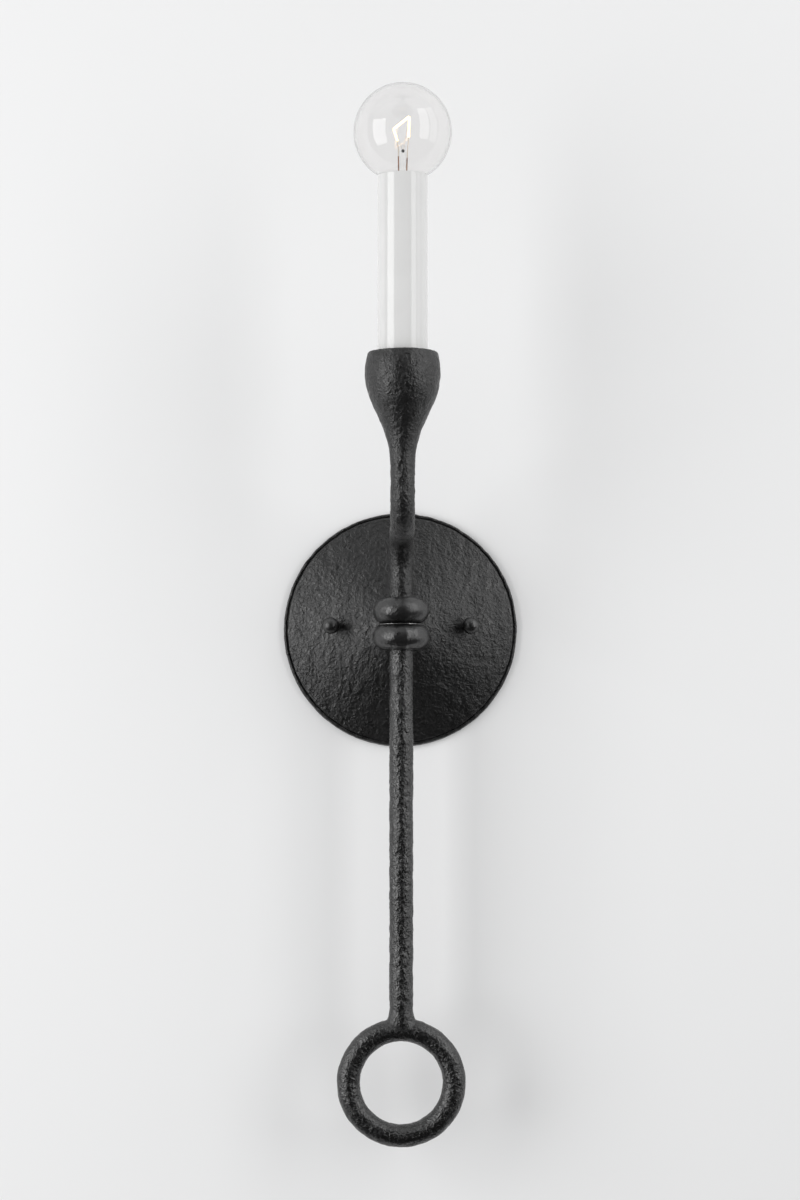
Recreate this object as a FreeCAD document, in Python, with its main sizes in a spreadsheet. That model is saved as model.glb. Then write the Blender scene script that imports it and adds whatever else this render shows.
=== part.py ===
import FreeCAD, Part

import math
import os
import re

import Sketcher

# A black torch sconce for a wall, in millimetres.
# +Z is up, +X is right, the wall is the plane Y = 0 and the sconce stands out along -Y.
# The origin is the middle of the round backplate, on the wall.
# "Depth" below is the distance out from the wall, so a depth of 38 is Y = -38.

Vector = FreeCAD.Vector

SIZES = {
    # Backplate: a shallow cone with a narrow flat rim
    "plate_diameter": 127.0,
    "plate_rim_depth": 3.2,
    "plate_rim_width": 2.2,
    "plate_step": 1.2,
    "plate_apex_depth": 21.0,
    "plate_wall": 1.8,
    "pad_land": 1.4,
    "hole_line": 1.6,
    # Mounting strap and the screws in it
    "strap_thickness": 2.0,
    "strap_width": 22.0,
    "stud_arm_width": 14.0,
    "strap_hub_diameter": 34.0,
    "wire_hole_diameter": 20.0,
    "box_slot_spacing": 79.4,
    "box_slot_length": 14.1,
    "box_slot_width": 4.6,
    "strap_end_land": 4.0,
    "stud_diameter": 4.0,
    "stud_nut_height": 3.0,
    "stud_nut_flats": 7.0,
    "ground_screw_drop": 23.0,
    "ground_screw_diameter": 4.6,
    "ground_head_diameter": 8.4,
    "ground_head_height": 2.4,
    # Ball knobs
    "knob_spacing": 75.3,
    "knob_diameter": 8.9,
    "knob_neck_diameter": 5.6,
    "knob_neck_length": 2.7,
    "knob_thread_length": 6.2,
    # Knuckle: a cast core with two rounded rings round it
    "collar_ring_diameter": 30.2,
    "lower_ring_extra": 0.4,
    "collar_ring_height": 14.05,
    "collar_standoff": 1.9,
    "core_wall": 1.55,
    "boss_diameter": 18.0,
    "neck_seat": 0.6,
    # Pipe nipples, their nuts and washers
    "nipple_diameter": 9.74,
    "nipple_bore": 7.0,
    "back_nipple_reach": 11.5,
    "pipe_nut_flats": 14.0,
    "pipe_nut_height": 3.2,
    "flat_washer_diameter": 18.0,
    "flat_washer_thickness": 1.2,
    "lock_washer_thickness": 1.5,
    "lock_washer_width": 2.1,
    "lock_washer_split": 15,
    "nipple_stand": 1.5,
    # Rod and ring
    "rod_diameter": 12.7,
    "rod_length": 188.0,
    "tenon_diameter": 7.8,
    "tenon_length": 6.3,
    "ring_mean_diameter": 56.3,
    "ring_bar_diameter": 12.4,
    "ring_stem_height": 7.5,
    "ring_flare": 3.6,
    # Neck tube, bent forward and up
    "neck_bore": 8.8,
    "neck_rise": 14.35,
    "neck_bend_radius": 18.0,
    "neck_run": 21.0,
    "neck_riser": 14.0,
    "neck_thread_length": 11.0,
    # Torch cup
    "cup_stem_height": 23.9,
    "cup_slope_height": 6.2,
    "cup_bowl_height": 18.4,
    "cup_lip_height": 8.4,
    "cup_waist_radius": 12.2,
    "cup_shoulder_radius": 15.0,
    "cup_belly": 1.2,
    "cup_wall": 2.4,
    "cup_gap": 2.9,
    "cup_recess": 11.1,
    # Candle sleeve and the socket inside it
    "sleeve_diameter": 25.8,
    "sleeve_wall": 0.9,
    "sleeve_length": 101.6,
    "liner_wall": 0.6,
    "socket_recess": 10.5,
    "socket_rim": 2.0,
    "socket_floor": 5.0,
    "bracket_thickness": 1.0,
    "bracket_width": 8.0,
    "bracket_foot_diameter": 17.0,
    "bracket_leg_offset": 9.0,
    "rivet_diameter": 3.0,
    "rivet_head_diameter": 5.0,
    "rivet_head_height": 0.9,
    "contact_height": 3.4,
    "contact_thickness": 0.6,
    "contact_end_gap": 1.5,
    "tab_margin": 1.0,
    # Bulb with a small screw base
    "globe_diameter": 50.4,
    "globe_wall": 0.7,
    "globe_neck_diameter": 12.6,
    "globe_fillet": 8.4,
    "base_diameter": 11.6,
    "thread_pitch": 2.54,
    "thread_depth": 0.5,
    "base_skirt": 4.3,
    "base_wall": 0.4,
    "insulator_height": 2.4,
    "tip_height": 1.5,
    "tip_diameter": 3.8,
    "stem_diameter": 3.4,
    "filament_thickness": 0.8,
    "bulb_lead_thickness": 0.7,
    "stem_top_drop": 6.3,
    "lead_bend_drop": 13.1,
    "left_lead_lean": 0.5,
    "left_lead_drop": 4.4,
    "right_lead_lean": 0.9,
    "right_lead_drop": 2.6,
    "filament_side": 4.7,
    "filament_side_rise": 1.4,
    "filament_peak_side": 3.5,
    "filament_peak_rise": 8.5,
    "filament_bow": 1.4,
    # Wiring
    "lead_diameter": 2.2,
    "lead_gap": 0.3,
    "lead_exit_spacing": 13.0,
    "chamber_bend": 8.0,
    "canopy_bend": 5.0,
    "ground_wire_diameter": 1.6,
    "wire_nut_diameter": 9.2,
    "wire_nut_tip_diameter": 6.6,
    "wire_nut_length": 15.0,
    "wire_nut_skirt": 3.8,
    "wire_nut_shoulder": 5.0,
    "wire_nut_shoulder_diameter": 8.1,
    "wire_nut_grip": 8.0,
    "wire_nut_mouth": 21.5,
    "ground_nut_gap": 1.0,
    "ground_wire_straight": 2.0,
    # Clearances
    "slip_fit": 0.05,
    "thread_fit": 0.06,
    "bulb_thread_fit": 0.08,
    "screw_fit": 0.25,
    "turning_gap": 0.3,
    "knob_seat_gap": 0.1,
    "liner_fit": 0.2,
    "globe_rim_gap": 0.35,
    "contact_gap": 0.1,
}

# Forms that are shares of a size, not sizes
THREAD_TURNS = 5
THREAD_RIDGE = (0.1, 0.4, 0.6, 0.9)     # of the pitch: a ridge's foot, its crest's two edges, its other foot
SKIRT_CONE = (0.1, 0.3)                 # of the skirt: where the last root widens to the full diameter
FLARE_COURSE = ((0.0, 0.0), (0.5, 0.04), (1.0, 0.28))   # of the stem's height, and of its flare there
FLARE_BITE = 0.9                        # of the bar's radius: how deep the flare ends inside the bar

doc = FreeCAD.newDocument("torch_sconce")
sheet = doc.addObject("Spreadsheet::Sheet", "sizes")
for row, (alias, size) in enumerate(SIZES.items(), start=1):
    sheet.set(f"A{row}", alias)
    sheet.set(f"B{row}", str(size))
    sheet.setAlias(f"B{row}", alias)
doc.recompute()

ALIAS = re.compile(r"\b(" + "|".join(SIZES) + r")\b")
nodes = {}


def value(formula):
    """The number that a formula of sizes gives now."""
    return float(sheet.evalExpression(str(formula)))


def bound(formula):
    """The same formula as an expression that other objects can hold."""
    return ALIAS.sub(r"sizes.\1", str(formula))


def bind(obj, prop, formula):
    obj.setExpression(prop, bound(formula))


def place(obj, at, turn=None):
    """Put an object at three formulas, turned by a rotation."""
    if turn:
        obj.Placement = FreeCAD.Placement(Vector(0, 0, 0), turn)
    for letter, formula in zip("xyz", at):
        if str(formula) != "0":
            bind(obj, f"Placement.Base.{letter}", formula)
    return obj


def keep(obj, name):
    """Name a finished sub-part and list it as a node."""
    obj.Label = name
    nodes[name] = obj
    return obj


# OUTWARD turns local +Z, along which pieces are drawn, to face out from the wall.
# CROSSWISE does the same and lays local +Y along the wall's X.
OUTWARD = FreeCAD.Rotation(Vector(1, 0, 0), 90)
CROSSWISE = OUTWARD.multiply(FreeCAD.Rotation(Vector(0, 0, 1), 90))


def origin_plane(body, role):
    return [feature for feature in body.Origin.OriginFeatures if feature.Role == role][0]


def outline(body, name, plane, points, closed=True):
    """Sketch a path through points (across, up) or (across, up, radius).

    A radius bends the stretch that ends at its point: above zero it turns
    to the left of the way drawn, and below zero to the right.
    """
    sketch = body.newObject("Sketcher::SketchObject", name)
    sketch.AttachmentSupport = (origin_plane(body, plane), [""])
    sketch.MapMode = "FlatFace"
    spots = [Vector(value(p[0]), value(p[1]), 0) for p in points]
    count = len(points)
    ends = []
    for i in range(count if closed else count - 1):
        start, stop = spots[i], spots[(i + 1) % count]
        target = points[(i + 1) % count]
        if len(target) == 2:
            edge = sketch.addGeometry(Part.LineSegment(start, stop))
            ends.append((edge, 1, 2))
            continue
        radius = value(target[2])
        chord = stop - start
        rise = math.sqrt(max(radius ** 2 - chord.Length ** 2 / 4, 0.0))
        side = Vector(-chord.y, chord.x, 0).normalize() * math.copysign(rise, radius)
        centre = (start + stop) * 0.5 + side
        first, last = (start, stop) if radius > 0 else (stop, start)
        angles = [math.atan2(p.y - centre.y, p.x - centre.x) for p in (first, last)]
        circle = Part.Circle(centre, Vector(0, 0, 1), abs(radius))
        edge = sketch.addGeometry(Part.ArcOfCircle(circle, *angles))
        size = sketch.addConstraint(Sketcher.Constraint("Radius", edge, abs(radius)))
        bind(sketch, f"Constraints[{size}]", f"abs({target[2]})")
        ends.append((edge, 1, 2) if radius > 0 else (edge, 2, 1))
    for i in range(len(ends) if closed else len(ends) - 1):
        edge, _, stop = ends[i]
        after, start, _ = ends[(i + 1) % len(ends)]
        sketch.addConstraint(Sketcher.Constraint("Coincident", edge, stop, after, start))
    for i, point in enumerate(points):
        edge, corner = ends[i][:2] if i < len(ends) else (ends[-1][0], ends[-1][2])
        for kind, axis, formula in (("DistanceX", -2, point[0]), ("DistanceY", -1, point[1])):
            if str(formula) == "0":
                sketch.addConstraint(Sketcher.Constraint("PointOnObject", edge, corner, axis))
                continue
            place_at = Sketcher.Constraint(kind, -1, 1, edge, corner, value(formula))
            number = sketch.addConstraint(place_at)
            bind(sketch, f"Constraints[{number}]", formula)
    return sketch


def new_body(name, at=("0", "0", "0"), turn=None):
    return place(doc.addObject("PartDesign::Body", name), at, turn)


def turned(name, points, at=("0", "0", "0"), turn=None, angle=360):
    """A piece turned about its own Z axis from a closed outline (radius, height)."""
    body = new_body(name, at, turn)
    feature = body.newObject("PartDesign::Revolution", name + "_turning")
    feature.Profile = outline(body, name + "_outline", "XZ_Plane", points)
    feature.ReferenceAxis = (feature.Profile[0], ["V_Axis"])
    feature.Angle = angle
    return body


def padded(name, plane, points, thickness, at=("0", "0", "0"), turn=None, midplane=False):
    """A piece pushed out from a closed outline on one of its origin planes."""
    body = new_body(name, at, turn)
    feature = body.newObject("PartDesign::Pad", name + "_pad")
    feature.Profile = outline(body, name + "_outline", plane, points)
    feature.SideType = "Symmetric" if midplane else "One side"
    bind(feature, "Length", thickness)
    return body


def pill(name, length, width, thickness, at, turn=None):
    """A flat bar with round ends, its length along local Y."""
    half = f"(({width}) / 2)"
    straight = f"(({length}) / 2 - {half})"
    tip = f"(({length}) / 2)"
    points = [
        (half, straight), ("0", tip, half), (f"-{half}", straight, half),
        (f"-{half}", f"-{straight}"), ("0", f"-{tip}", half), (half, f"-{straight}", half),
    ]
    return padded(name, "XY_Plane", points, thickness, at, turn)


def cylinder(name, radius, height, at, turn=None):
    shape = doc.addObject("Part::Cylinder", name)
    bind(shape, "Radius", radius)
    bind(shape, "Height", height)
    return place(shape, at, turn)


def hexagon(name, flats, height, at, turn=None):
    shape = doc.addObject("Part::Prism", name)
    shape.Polygon = 6
    bind(shape, "Circumradius", f"({flats}) / sqrt(3)")
    bind(shape, "Height", height)
    return place(shape, at, turn)


def fused(name, shapes):
    union = doc.addObject("Part::MultiFuse", name)
    union.Shapes = shapes
    return union


def cut(name, base, tools):
    """Take one or more tools away from a base."""
    result = doc.addObject("Part::Cut", name)
    result.Base = base
    result.Tool = tools[0] if len(tools) == 1 else fused(name + "_tools", tools)
    return result


def grouped(name, shapes):
    group = doc.addObject("Part::Compound", name)
    group.Links = shapes
    return group


# Places that several pieces share, each written as a formula of the sizes
plate_radius = "(plate_diameter / 2)"
cone_foot_radius = f"({plate_radius} - plate_rim_width)"
cone_foot_depth = "(plate_rim_depth + plate_step)"
boss_radius = "(boss_diameter / 2)"
pad_radius = f"({boss_radius} + hole_line + pad_land)"
cone_slope = f"((plate_apex_depth - {cone_foot_depth}) / ({cone_foot_radius} - {pad_radius}))"
wall_drop = f"(plate_wall * sqrt(1 + {cone_slope} * {cone_slope}))"
pad_back_depth = "(plate_apex_depth - plate_wall)"
nipple_radius = "(nipple_diameter / 2)"
lead_side = "((lead_diameter + lead_gap) / 2)"
stud_radius = "(stud_diameter / 2)"
ring_radius = "(collar_ring_diameter / 2)"
rod_radius = "(rod_diameter / 2)"
rod_depth = f"(plate_apex_depth + collar_standoff + {ring_radius})"
core_radius = f"({rod_radius} + slip_fit + core_wall)"
collar_top = "(hole_line + collar_ring_height)"
collar_bottom = "(hole_line - collar_ring_height)"
neck_socket = f"(collar_ring_height - {nipple_radius} - thread_fit - neck_seat)"
cup_depth = f"({rod_depth} + 2 * neck_bend_radius + neck_run)"
neck_cross = f"({collar_top} + neck_rise + neck_bend_radius)"
neck_top = f"({neck_cross} + neck_bend_radius + neck_riser)"
cup_rim = "(cup_stem_height + cup_slope_height + cup_bowl_height + cup_lip_height)"
sleeve_radius = "(sleeve_diameter / 2)"
sleeve_inside = f"({sleeve_radius} - sleeve_wall)"
cup_inside = f"({sleeve_radius} + cup_gap)"
cup_lip = f"({cup_inside} + cup_wall)"
cup_floor = f"({neck_top} + {cup_rim} + cup_wall / 2 - cup_recess)"
sleeve_top = f"({cup_floor} + sleeve_length)"
socket_top = f"({sleeve_top} - socket_recess)"
base_height = f"({THREAD_TURNS} * thread_pitch + base_skirt)"
contact_rise = "(contact_height + contact_thickness)"
base_rise = f"(socket_floor + {contact_rise} + contact_gap + tip_height + insulator_height)"
socket_height = f"({base_rise} + {base_height} + socket_rim)"
socket_bottom = f"({socket_top} - {socket_height})"
liner_outside = f"({sleeve_inside} - turning_gap)"
socket_radius = f"({liner_outside} - liner_wall - liner_fit)"


def cone_depth(radius):
    """Depth of the backplate's outer face at a radius on its cone."""
    return f"(plate_apex_depth - (({radius}) - {pad_radius}) * {cone_slope})"


def out(depth):
    """The Y formula of a depth."""
    return f"-({depth})"


# Backplate: rim, step, cone and the flat pad that the knuckle's boss bears on
rim_inside = f"({cone_foot_radius} - plate_wall)"
plate = turned("plate_shell", [
    (plate_radius, "0"),
    (plate_radius, "plate_rim_depth"),
    (cone_foot_radius, "plate_rim_depth"),
    (cone_foot_radius, cone_foot_depth),
    (pad_radius, "plate_apex_depth"),
    ("0", "plate_apex_depth"),
    ("0", pad_back_depth),
    (f"{pad_radius} - plate_wall * {cone_slope} / 2", pad_back_depth),
    (rim_inside, f"{cone_foot_depth} + plate_wall * {cone_slope} - {wall_drop}"),
    (rim_inside, "plate_rim_depth - plate_wall"),
    (f"{plate_radius} - plate_wall", "plate_rim_depth - plate_wall"),
    (f"{plate_radius} - plate_wall", "0"),
], turn=OUTWARD)
knob_sides = {"left": "-1", "right": "1"}
plate_holes = [cylinder("nipple_hole", f"{nipple_radius} + screw_fit", "plate_apex_depth + 1",
                        ("0", "0", "hole_line"), OUTWARD)]
for side, sign in knob_sides.items():
    plate_holes.append(cylinder(f"stud_hole_{side}", f"{stud_radius} + screw_fit",
                                "plate_apex_depth + 1",
                                (f"{sign} * knob_spacing / 2", "0", "hole_line"), OUTWARD))
keep(cut("backplate", plate, plate_holes), "backplate")

# Mounting strap: a plus-shaped steel plate, slotted for the wall box's screws
through_strap = "(strap_thickness + 2)"
strap_height = "box_slot_spacing + box_slot_length + 2 * strap_end_land"
strap_blank = fused("strap_blank", [
    pill("box_arm", strap_height, "strap_width", "strap_thickness", ("0", "0", "0"), OUTWARD),
    pill("stud_arm", "knob_spacing + stud_arm_width", "stud_arm_width", "strap_thickness",
         ("0", "0", "hole_line"), CROSSWISE),
    cylinder("strap_hub", "strap_hub_diameter / 2", "strap_thickness",
             ("0", "0", "hole_line"), OUTWARD),
])
strap_holes = [
    cylinder("wire_hole", "wire_hole_diameter / 2", through_strap, ("0", "1", "hole_line"), OUTWARD),
    cylinder("ground_thread", "ground_screw_diameter / 2 + slip_fit", through_strap,
             ("0", "1", "hole_line - ground_screw_drop"), OUTWARD),
]
for side, sign in (("upper", "1"), ("lower", "-1")):
    strap_holes.append(pill(f"box_slot_{side}", "box_slot_length", "box_slot_width", through_strap,
                            ("0", "1", f"{sign} * box_slot_spacing / 2"), OUTWARD))
for side, sign in knob_sides.items():
    strap_holes.append(cylinder(f"stud_thread_{side}", f"{stud_radius} + slip_fit", through_strap,
                                (f"{sign} * knob_spacing / 2", "1", "hole_line"), OUTWARD))
keep(cut("mounting_strap", strap_blank, strap_holes), "mounting_strap")

# Studs that carry the backplate, and the nuts that lock them to the strap
knob_foot_depth = f"({cone_depth('knob_spacing / 2 - knob_neck_diameter / 2')} + knob_seat_gap)"
studs = []
stud_nuts = []
for side, sign in knob_sides.items():
    across = f"{sign} * knob_spacing / 2"
    studs.append(cylinder(f"stud_{side}", stud_radius, f"{knob_foot_depth} + knob_thread_length",
                          (across, "0", "hole_line"), OUTWARD))
    blank = hexagon(f"stud_nut_blank_{side}", "stud_nut_flats", "stud_nut_height",
                    (across, "-strap_thickness", "hole_line"), OUTWARD)
    bore = cylinder(f"stud_nut_bore_{side}", f"{stud_radius} + slip_fit", "stud_nut_height + 2",
                    (across, "1 - strap_thickness", "hole_line"), OUTWARD)
    stud_nuts.append(cut(f"stud_nut_{side}", blank, [bore]))
keep(grouped("mounting_studs", studs), "mounting_studs")
keep(grouped("stud_nuts", stud_nuts), "stud_nuts")

# Ball knobs: a neck and a ball, with a blind thread for the stud
ball_radius = "(knob_diameter / 2)"
knob_neck = "(knob_neck_diameter / 2)"
ball_middle = f"(knob_neck_length + sqrt({ball_radius} * {ball_radius} - {knob_neck} * {knob_neck}))"
knob_bore = f"({stud_radius} + slip_fit)"
for side, sign in knob_sides.items():
    keep(turned(f"knob_{side}", [
        (knob_bore, "0"),
        (knob_neck, "0"),
        (knob_neck, "knob_neck_length"),
        (ball_radius, ball_middle, ball_radius),
        ("0", f"{ball_middle} + {ball_radius}", ball_radius),
        ("0", "knob_thread_length + turning_gap"),
        (knob_bore, "knob_thread_length + turning_gap"),
    ], (f"{sign} * knob_spacing / 2", out(knob_foot_depth), "hole_line"), OUTWARD), f"knob_{side}")

# Knuckle core: an upright barrel for the neck and the rod, and a boss to the plate
core = fused("core_blank", [
    cylinder("core_barrel", core_radius, "2 * collar_ring_height",
             ("0", out(rod_depth), collar_bottom)),
    cylinder("core_boss", boss_radius, f"{rod_depth} - plate_apex_depth",
             ("0", out("plate_apex_depth"), "hole_line"), OUTWARD),
])
wire_chamber_floor = f"(hole_line - {nipple_radius} - thread_fit - neck_seat)"
core_holes = [
    cylinder("neck_socket", f"{rod_radius} + slip_fit", f"{neck_socket} + 1",
             ("0", out(rod_depth), f"{collar_top} - {neck_socket}")),
    cylinder("wire_chamber", "neck_bore / 2", f"{collar_top} - {wire_chamber_floor}",
             ("0", out(rod_depth), wire_chamber_floor)),
    cylinder("nipple_thread", f"{nipple_radius} + thread_fit", f"{rod_depth} - plate_apex_depth + 1",
             ("0", out("plate_apex_depth - 1"), "hole_line"), OUTWARD),
    cylinder("rod_socket", "tenon_diameter / 2 + slip_fit", "tenon_length + slip_fit + 1",
             ("0", out(rod_depth), f"{collar_bottom} - 1")),
]
keep(cut("collar_core", core, core_holes), "collar_core")

# Two rounded rings stacked round the core, each notched behind for the boss
for side, base, diameter in (("upper", "hole_line", "collar_ring_diameter"),
                             ("lower", collar_bottom, "(collar_ring_diameter + lower_ring_extra)")):
    crest = f"({diameter} / 2)"
    half = "(collar_ring_height / 2)"
    bore = f"({core_radius} + slip_fit)"
    land = f"max({bore} + 0.1; {crest} - {half})"
    bulge = f"({crest} - {land})"
    crown = f"(({bulge} * {bulge} + {half} * {half}) / (2 * {bulge}))"
    ring = turned(f"collar_{side}_blank", [
        (bore, "0"), (land, "0"), (crest, half, crown), (land, "collar_ring_height", crown),
        (bore, "collar_ring_height"),
    ], ("0", out(rod_depth), base))
    notch = cylinder(f"collar_{side}_notch", f"{boss_radius} + slip_fit", rod_depth,
                     ("0", "0", "hole_line"), OUTWARD)
    keep(cut(f"collar_{side}_ring", ring, [notch]), f"collar_{side}_ring")

# Back nipple with its washers and nut, clamping the knuckle to the plate
lock_depth = f"({pad_back_depth} - flat_washer_thickness - lock_washer_thickness)"
nipple_back_depth = f"({lock_depth} - pipe_nut_height - nipple_stand)"


def tube(name, outside, inside, length, at, turn=None):
    """A straight tube of formulas, from one end."""
    return turned(name, [(inside, "0"), (outside, "0"), (outside, length), (inside, length)], at, turn)


keep(tube("back_nipple", nipple_radius, "nipple_bore / 2",
          f"plate_apex_depth + back_nipple_reach - {nipple_back_depth}",
          ("0", out(nipple_back_depth), "hole_line"), OUTWARD), "back_nipple")
keep(tube("back_flat_washer", "flat_washer_diameter / 2", f"{nipple_radius} + screw_fit",
          "flat_washer_thickness",
          ("0", out(f"{pad_back_depth} - flat_washer_thickness"), "hole_line"), OUTWARD),
     "back_flat_washer")
washer_bore = f"({nipple_radius} + screw_fit)"
washer_edge = f"({washer_bore} + lock_washer_width)"
keep(turned("back_lock_washer", [
    (washer_bore, "0"), (washer_edge, "0"),
    (washer_edge, "lock_washer_thickness"), (washer_bore, "lock_washer_thickness"),
], ("0", out(lock_depth), "hole_line"), OUTWARD, angle=360 - value("lock_washer_split")),
    "back_lock_washer")


def pipe_nut(name, at, turn=None):
    blank = hexagon(name + "_blank", "pipe_nut_flats", "pipe_nut_height", at, turn)
    bore = cylinder(name + "_bore", f"{nipple_radius} + thread_fit", "pipe_nut_height", at, turn)
    return keep(cut(name, blank, [bore]), name)


pipe_nut("back_nut", ("0", out(f"{lock_depth} - pipe_nut_height"), "hole_line"), OUTWARD)

# Lower rod, with a tenon up into the knuckle
tenon_radius = "(tenon_diameter / 2)"
rod_foot = f"({collar_bottom} - rod_length)"
keep(turned("lower_rod", [
    ("0", "0"), (rod_radius, "0"), (rod_radius, "rod_length"), (tenon_radius, "rod_length"),
    (tenon_radius, "rod_length + tenon_length"), ("0", "rod_length + tenon_length"),
], ("0", out(rod_depth), rod_foot)), "lower_rod")

# Bottom ring: a round bar bent into a ring, flared up into the rod
bar_radius = "(ring_bar_diameter / 2)"
ring_centre = f"({rod_foot} - ring_stem_height - {bar_radius} - ring_mean_diameter / 2)"
torus = doc.addObject("Part::Torus", "ring_bar")
bind(torus, "Radius1", "ring_mean_diameter / 2")
bind(torus, "Radius2", bar_radius)
place(torus, ("0", out(rod_depth), ring_centre), OUTWARD)
flare_steps = [(f"{height} * ring_stem_height", share) for height, share in FLARE_COURSE]
flare_steps.append((f"ring_stem_height + {FLARE_BITE} * {bar_radius}", 1))
flare_sections = []
for number, (drop, share) in enumerate(flare_steps):
    section = doc.addObject("Part::Ellipse", f"ring_flare_{number}")
    bind(section, "MajorRadius", f"{rod_radius} + {share} * ring_flare")
    bind(section, "MinorRadius", f"{rod_radius} - {share} * slip_fit")
    place(section, ("0", out(rod_depth), f"{rod_foot} - ({drop})"))
    flare_sections.append(section)
stem = doc.addObject("Part::Loft", "ring_stem")
stem.Sections = flare_sections
stem.Solid = True
keep(fused("bottom_ring", [torus, stem]), "bottom_ring")

# Neck tube: up from the knuckle, forward and up again, bored for the wires
neck_foot = f"({collar_top} - {neck_socket})"
neck_reach = "(2 * neck_bend_radius + neck_run)"
neck_path_points = [
    ("0", "0"),
    ("0", f"{neck_socket} + neck_rise"),
    ("-neck_bend_radius", f"{neck_socket} + neck_rise + neck_bend_radius", "neck_bend_radius"),
    ("-(neck_bend_radius + neck_run)", f"{neck_socket} + neck_rise + neck_bend_radius"),
    (f"-{neck_reach}", f"{neck_socket} + neck_rise + 2 * neck_bend_radius", "-neck_bend_radius"),
    (f"-{neck_reach}", f"{neck_top} - {neck_foot}"),
]
neck = new_body("neck_body", ("0", out(rod_depth), neck_foot))
for kind, radius in (("AdditivePipe", rod_radius), ("SubtractivePipe", "neck_bore / 2")):
    section = neck.newObject("Sketcher::SketchObject", f"neck_{kind}_section")
    section.AttachmentSupport = (origin_plane(neck, "XY_Plane"), [""])
    section.MapMode = "FlatFace"
    ring_edge = section.addGeometry(Part.Circle(Vector(0, 0, 0), Vector(0, 0, 1), value(radius)))
    section.addConstraint(Sketcher.Constraint("Coincident", ring_edge, 3, -1, 1))
    size = section.addConstraint(Sketcher.Constraint("Radius", ring_edge, value(radius)))
    bind(section, f"Constraints[{size}]", radius)
    route = outline(neck, f"neck_{kind}_route", "YZ_Plane", neck_path_points, closed=False)
    pipe = neck.newObject("PartDesign::" + kind, f"neck_{kind}")
    pipe.Profile = section
    pipe.Spine = (route, [f"Edge{i + 1}" for i in range(route.GeometryCount)])
    pipe.Mode = "Standard"
    doc.recompute()
neck_thread = cylinder("neck_thread", f"{nipple_radius} + thread_fit", "neck_thread_length + 1",
                       ("0", out(cup_depth), f"{neck_top} - neck_thread_length"))
keep(cut("neck_tube", neck, [neck_thread]), "neck_tube")

# Torch cup: a slim stem that opens into a bowl with a rounded lip
cup_axis = ("0", out(cup_depth), neck_top)
cup_foot_radius = f"({rod_radius} + slip_fit)"
cup_bore = f"({nipple_radius} + screw_fit)"
shoulder_height = "(cup_stem_height + cup_slope_height)"
belly_height = f"({shoulder_height} + cup_bowl_height)"
belly_radius = f"({cup_lip} + cup_belly)"


def bend(across, along):
    """Radius of an arc that starts square to 'across' and covers both distances."""
    return f"((({across}) * ({across}) + ({along}) * ({along})) / (2 * ({across})))"


keep(turned("torch_cup_body", [
    (cup_bore, "0"),
    (cup_foot_radius, "0"),
    ("cup_waist_radius", "cup_stem_height",
     "-" + bend(f"cup_waist_radius - {cup_foot_radius}", "cup_stem_height")),
    ("cup_shoulder_radius", shoulder_height),
    (belly_radius, belly_height, bend(f"{belly_radius} - cup_shoulder_radius", "cup_bowl_height")),
    (cup_lip, cup_rim, bend("cup_belly", "cup_lip_height")),
    (f"({cup_lip} - cup_wall / 2)", f"{cup_rim} + cup_wall / 2", "(cup_wall / 2)"),
    (cup_inside, cup_rim, "(cup_wall / 2)"),
    (cup_inside, f"{cup_floor} - {neck_top}"),
    (cup_bore, f"{cup_floor} - {neck_top}"),
], cup_axis), "torch_cup")

# Pipe nipple through the cup, and the nut that clamps the socket's bracket to the floor
clamp_top = f"({cup_floor} + bracket_thickness + pipe_nut_height)"
cup_nipple_foot = f"({neck_top} - neck_thread_length + slip_fit)"
keep(tube("cup_nipple", nipple_radius, "nipple_bore / 2",
          f"{clamp_top} + nipple_stand - {cup_nipple_foot}",
          ("0", out(cup_depth), cup_nipple_foot)), "cup_nipple")
pipe_nut("cup_nut", ("0", out(cup_depth), f"{cup_floor} + bracket_thickness"))

# Socket bracket: a round foot on the nipple, a leg behind and a tab under the socket
bracket_rise = f"({socket_bottom} - {cup_floor})"
leg_inner = "bracket_leg_offset"
leg_outer = "(bracket_leg_offset + bracket_thickness)"
tab_reach = "(rivet_head_diameter / 2 + tab_margin)"
bracket_strip = padded("bracket_strip", "YZ_Plane", [
    ("0", "0"), (leg_outer, "0"), (leg_outer, bracket_rise), (f"-{tab_reach}", bracket_rise),
    (f"-{tab_reach}", f"{bracket_rise} - bracket_thickness"),
    (leg_inner, f"{bracket_rise} - bracket_thickness"),
    (leg_inner, "bracket_thickness"), ("0", "bracket_thickness"),
], "bracket_width", ("0", out(cup_depth), cup_floor), midplane=True)
bracket_foot = cylinder("bracket_foot", "bracket_foot_diameter / 2", "bracket_thickness",
                        ("0", out(cup_depth), cup_floor))
bracket_holes = [
    cylinder("bracket_foot_hole", cup_bore, "2 * bracket_thickness",
             ("0", out(cup_depth), f"{cup_floor} - bracket_thickness / 2")),
    cylinder("bracket_tab_hole", "rivet_diameter / 2 + slip_fit", "2 * bracket_thickness",
             ("0", out(cup_depth), f"{socket_bottom} - 1.5 * bracket_thickness")),
]
keep(cut("socket_bracket", fused("bracket_blank", [bracket_strip, bracket_foot]), bracket_holes),
     "socket_bracket")

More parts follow.
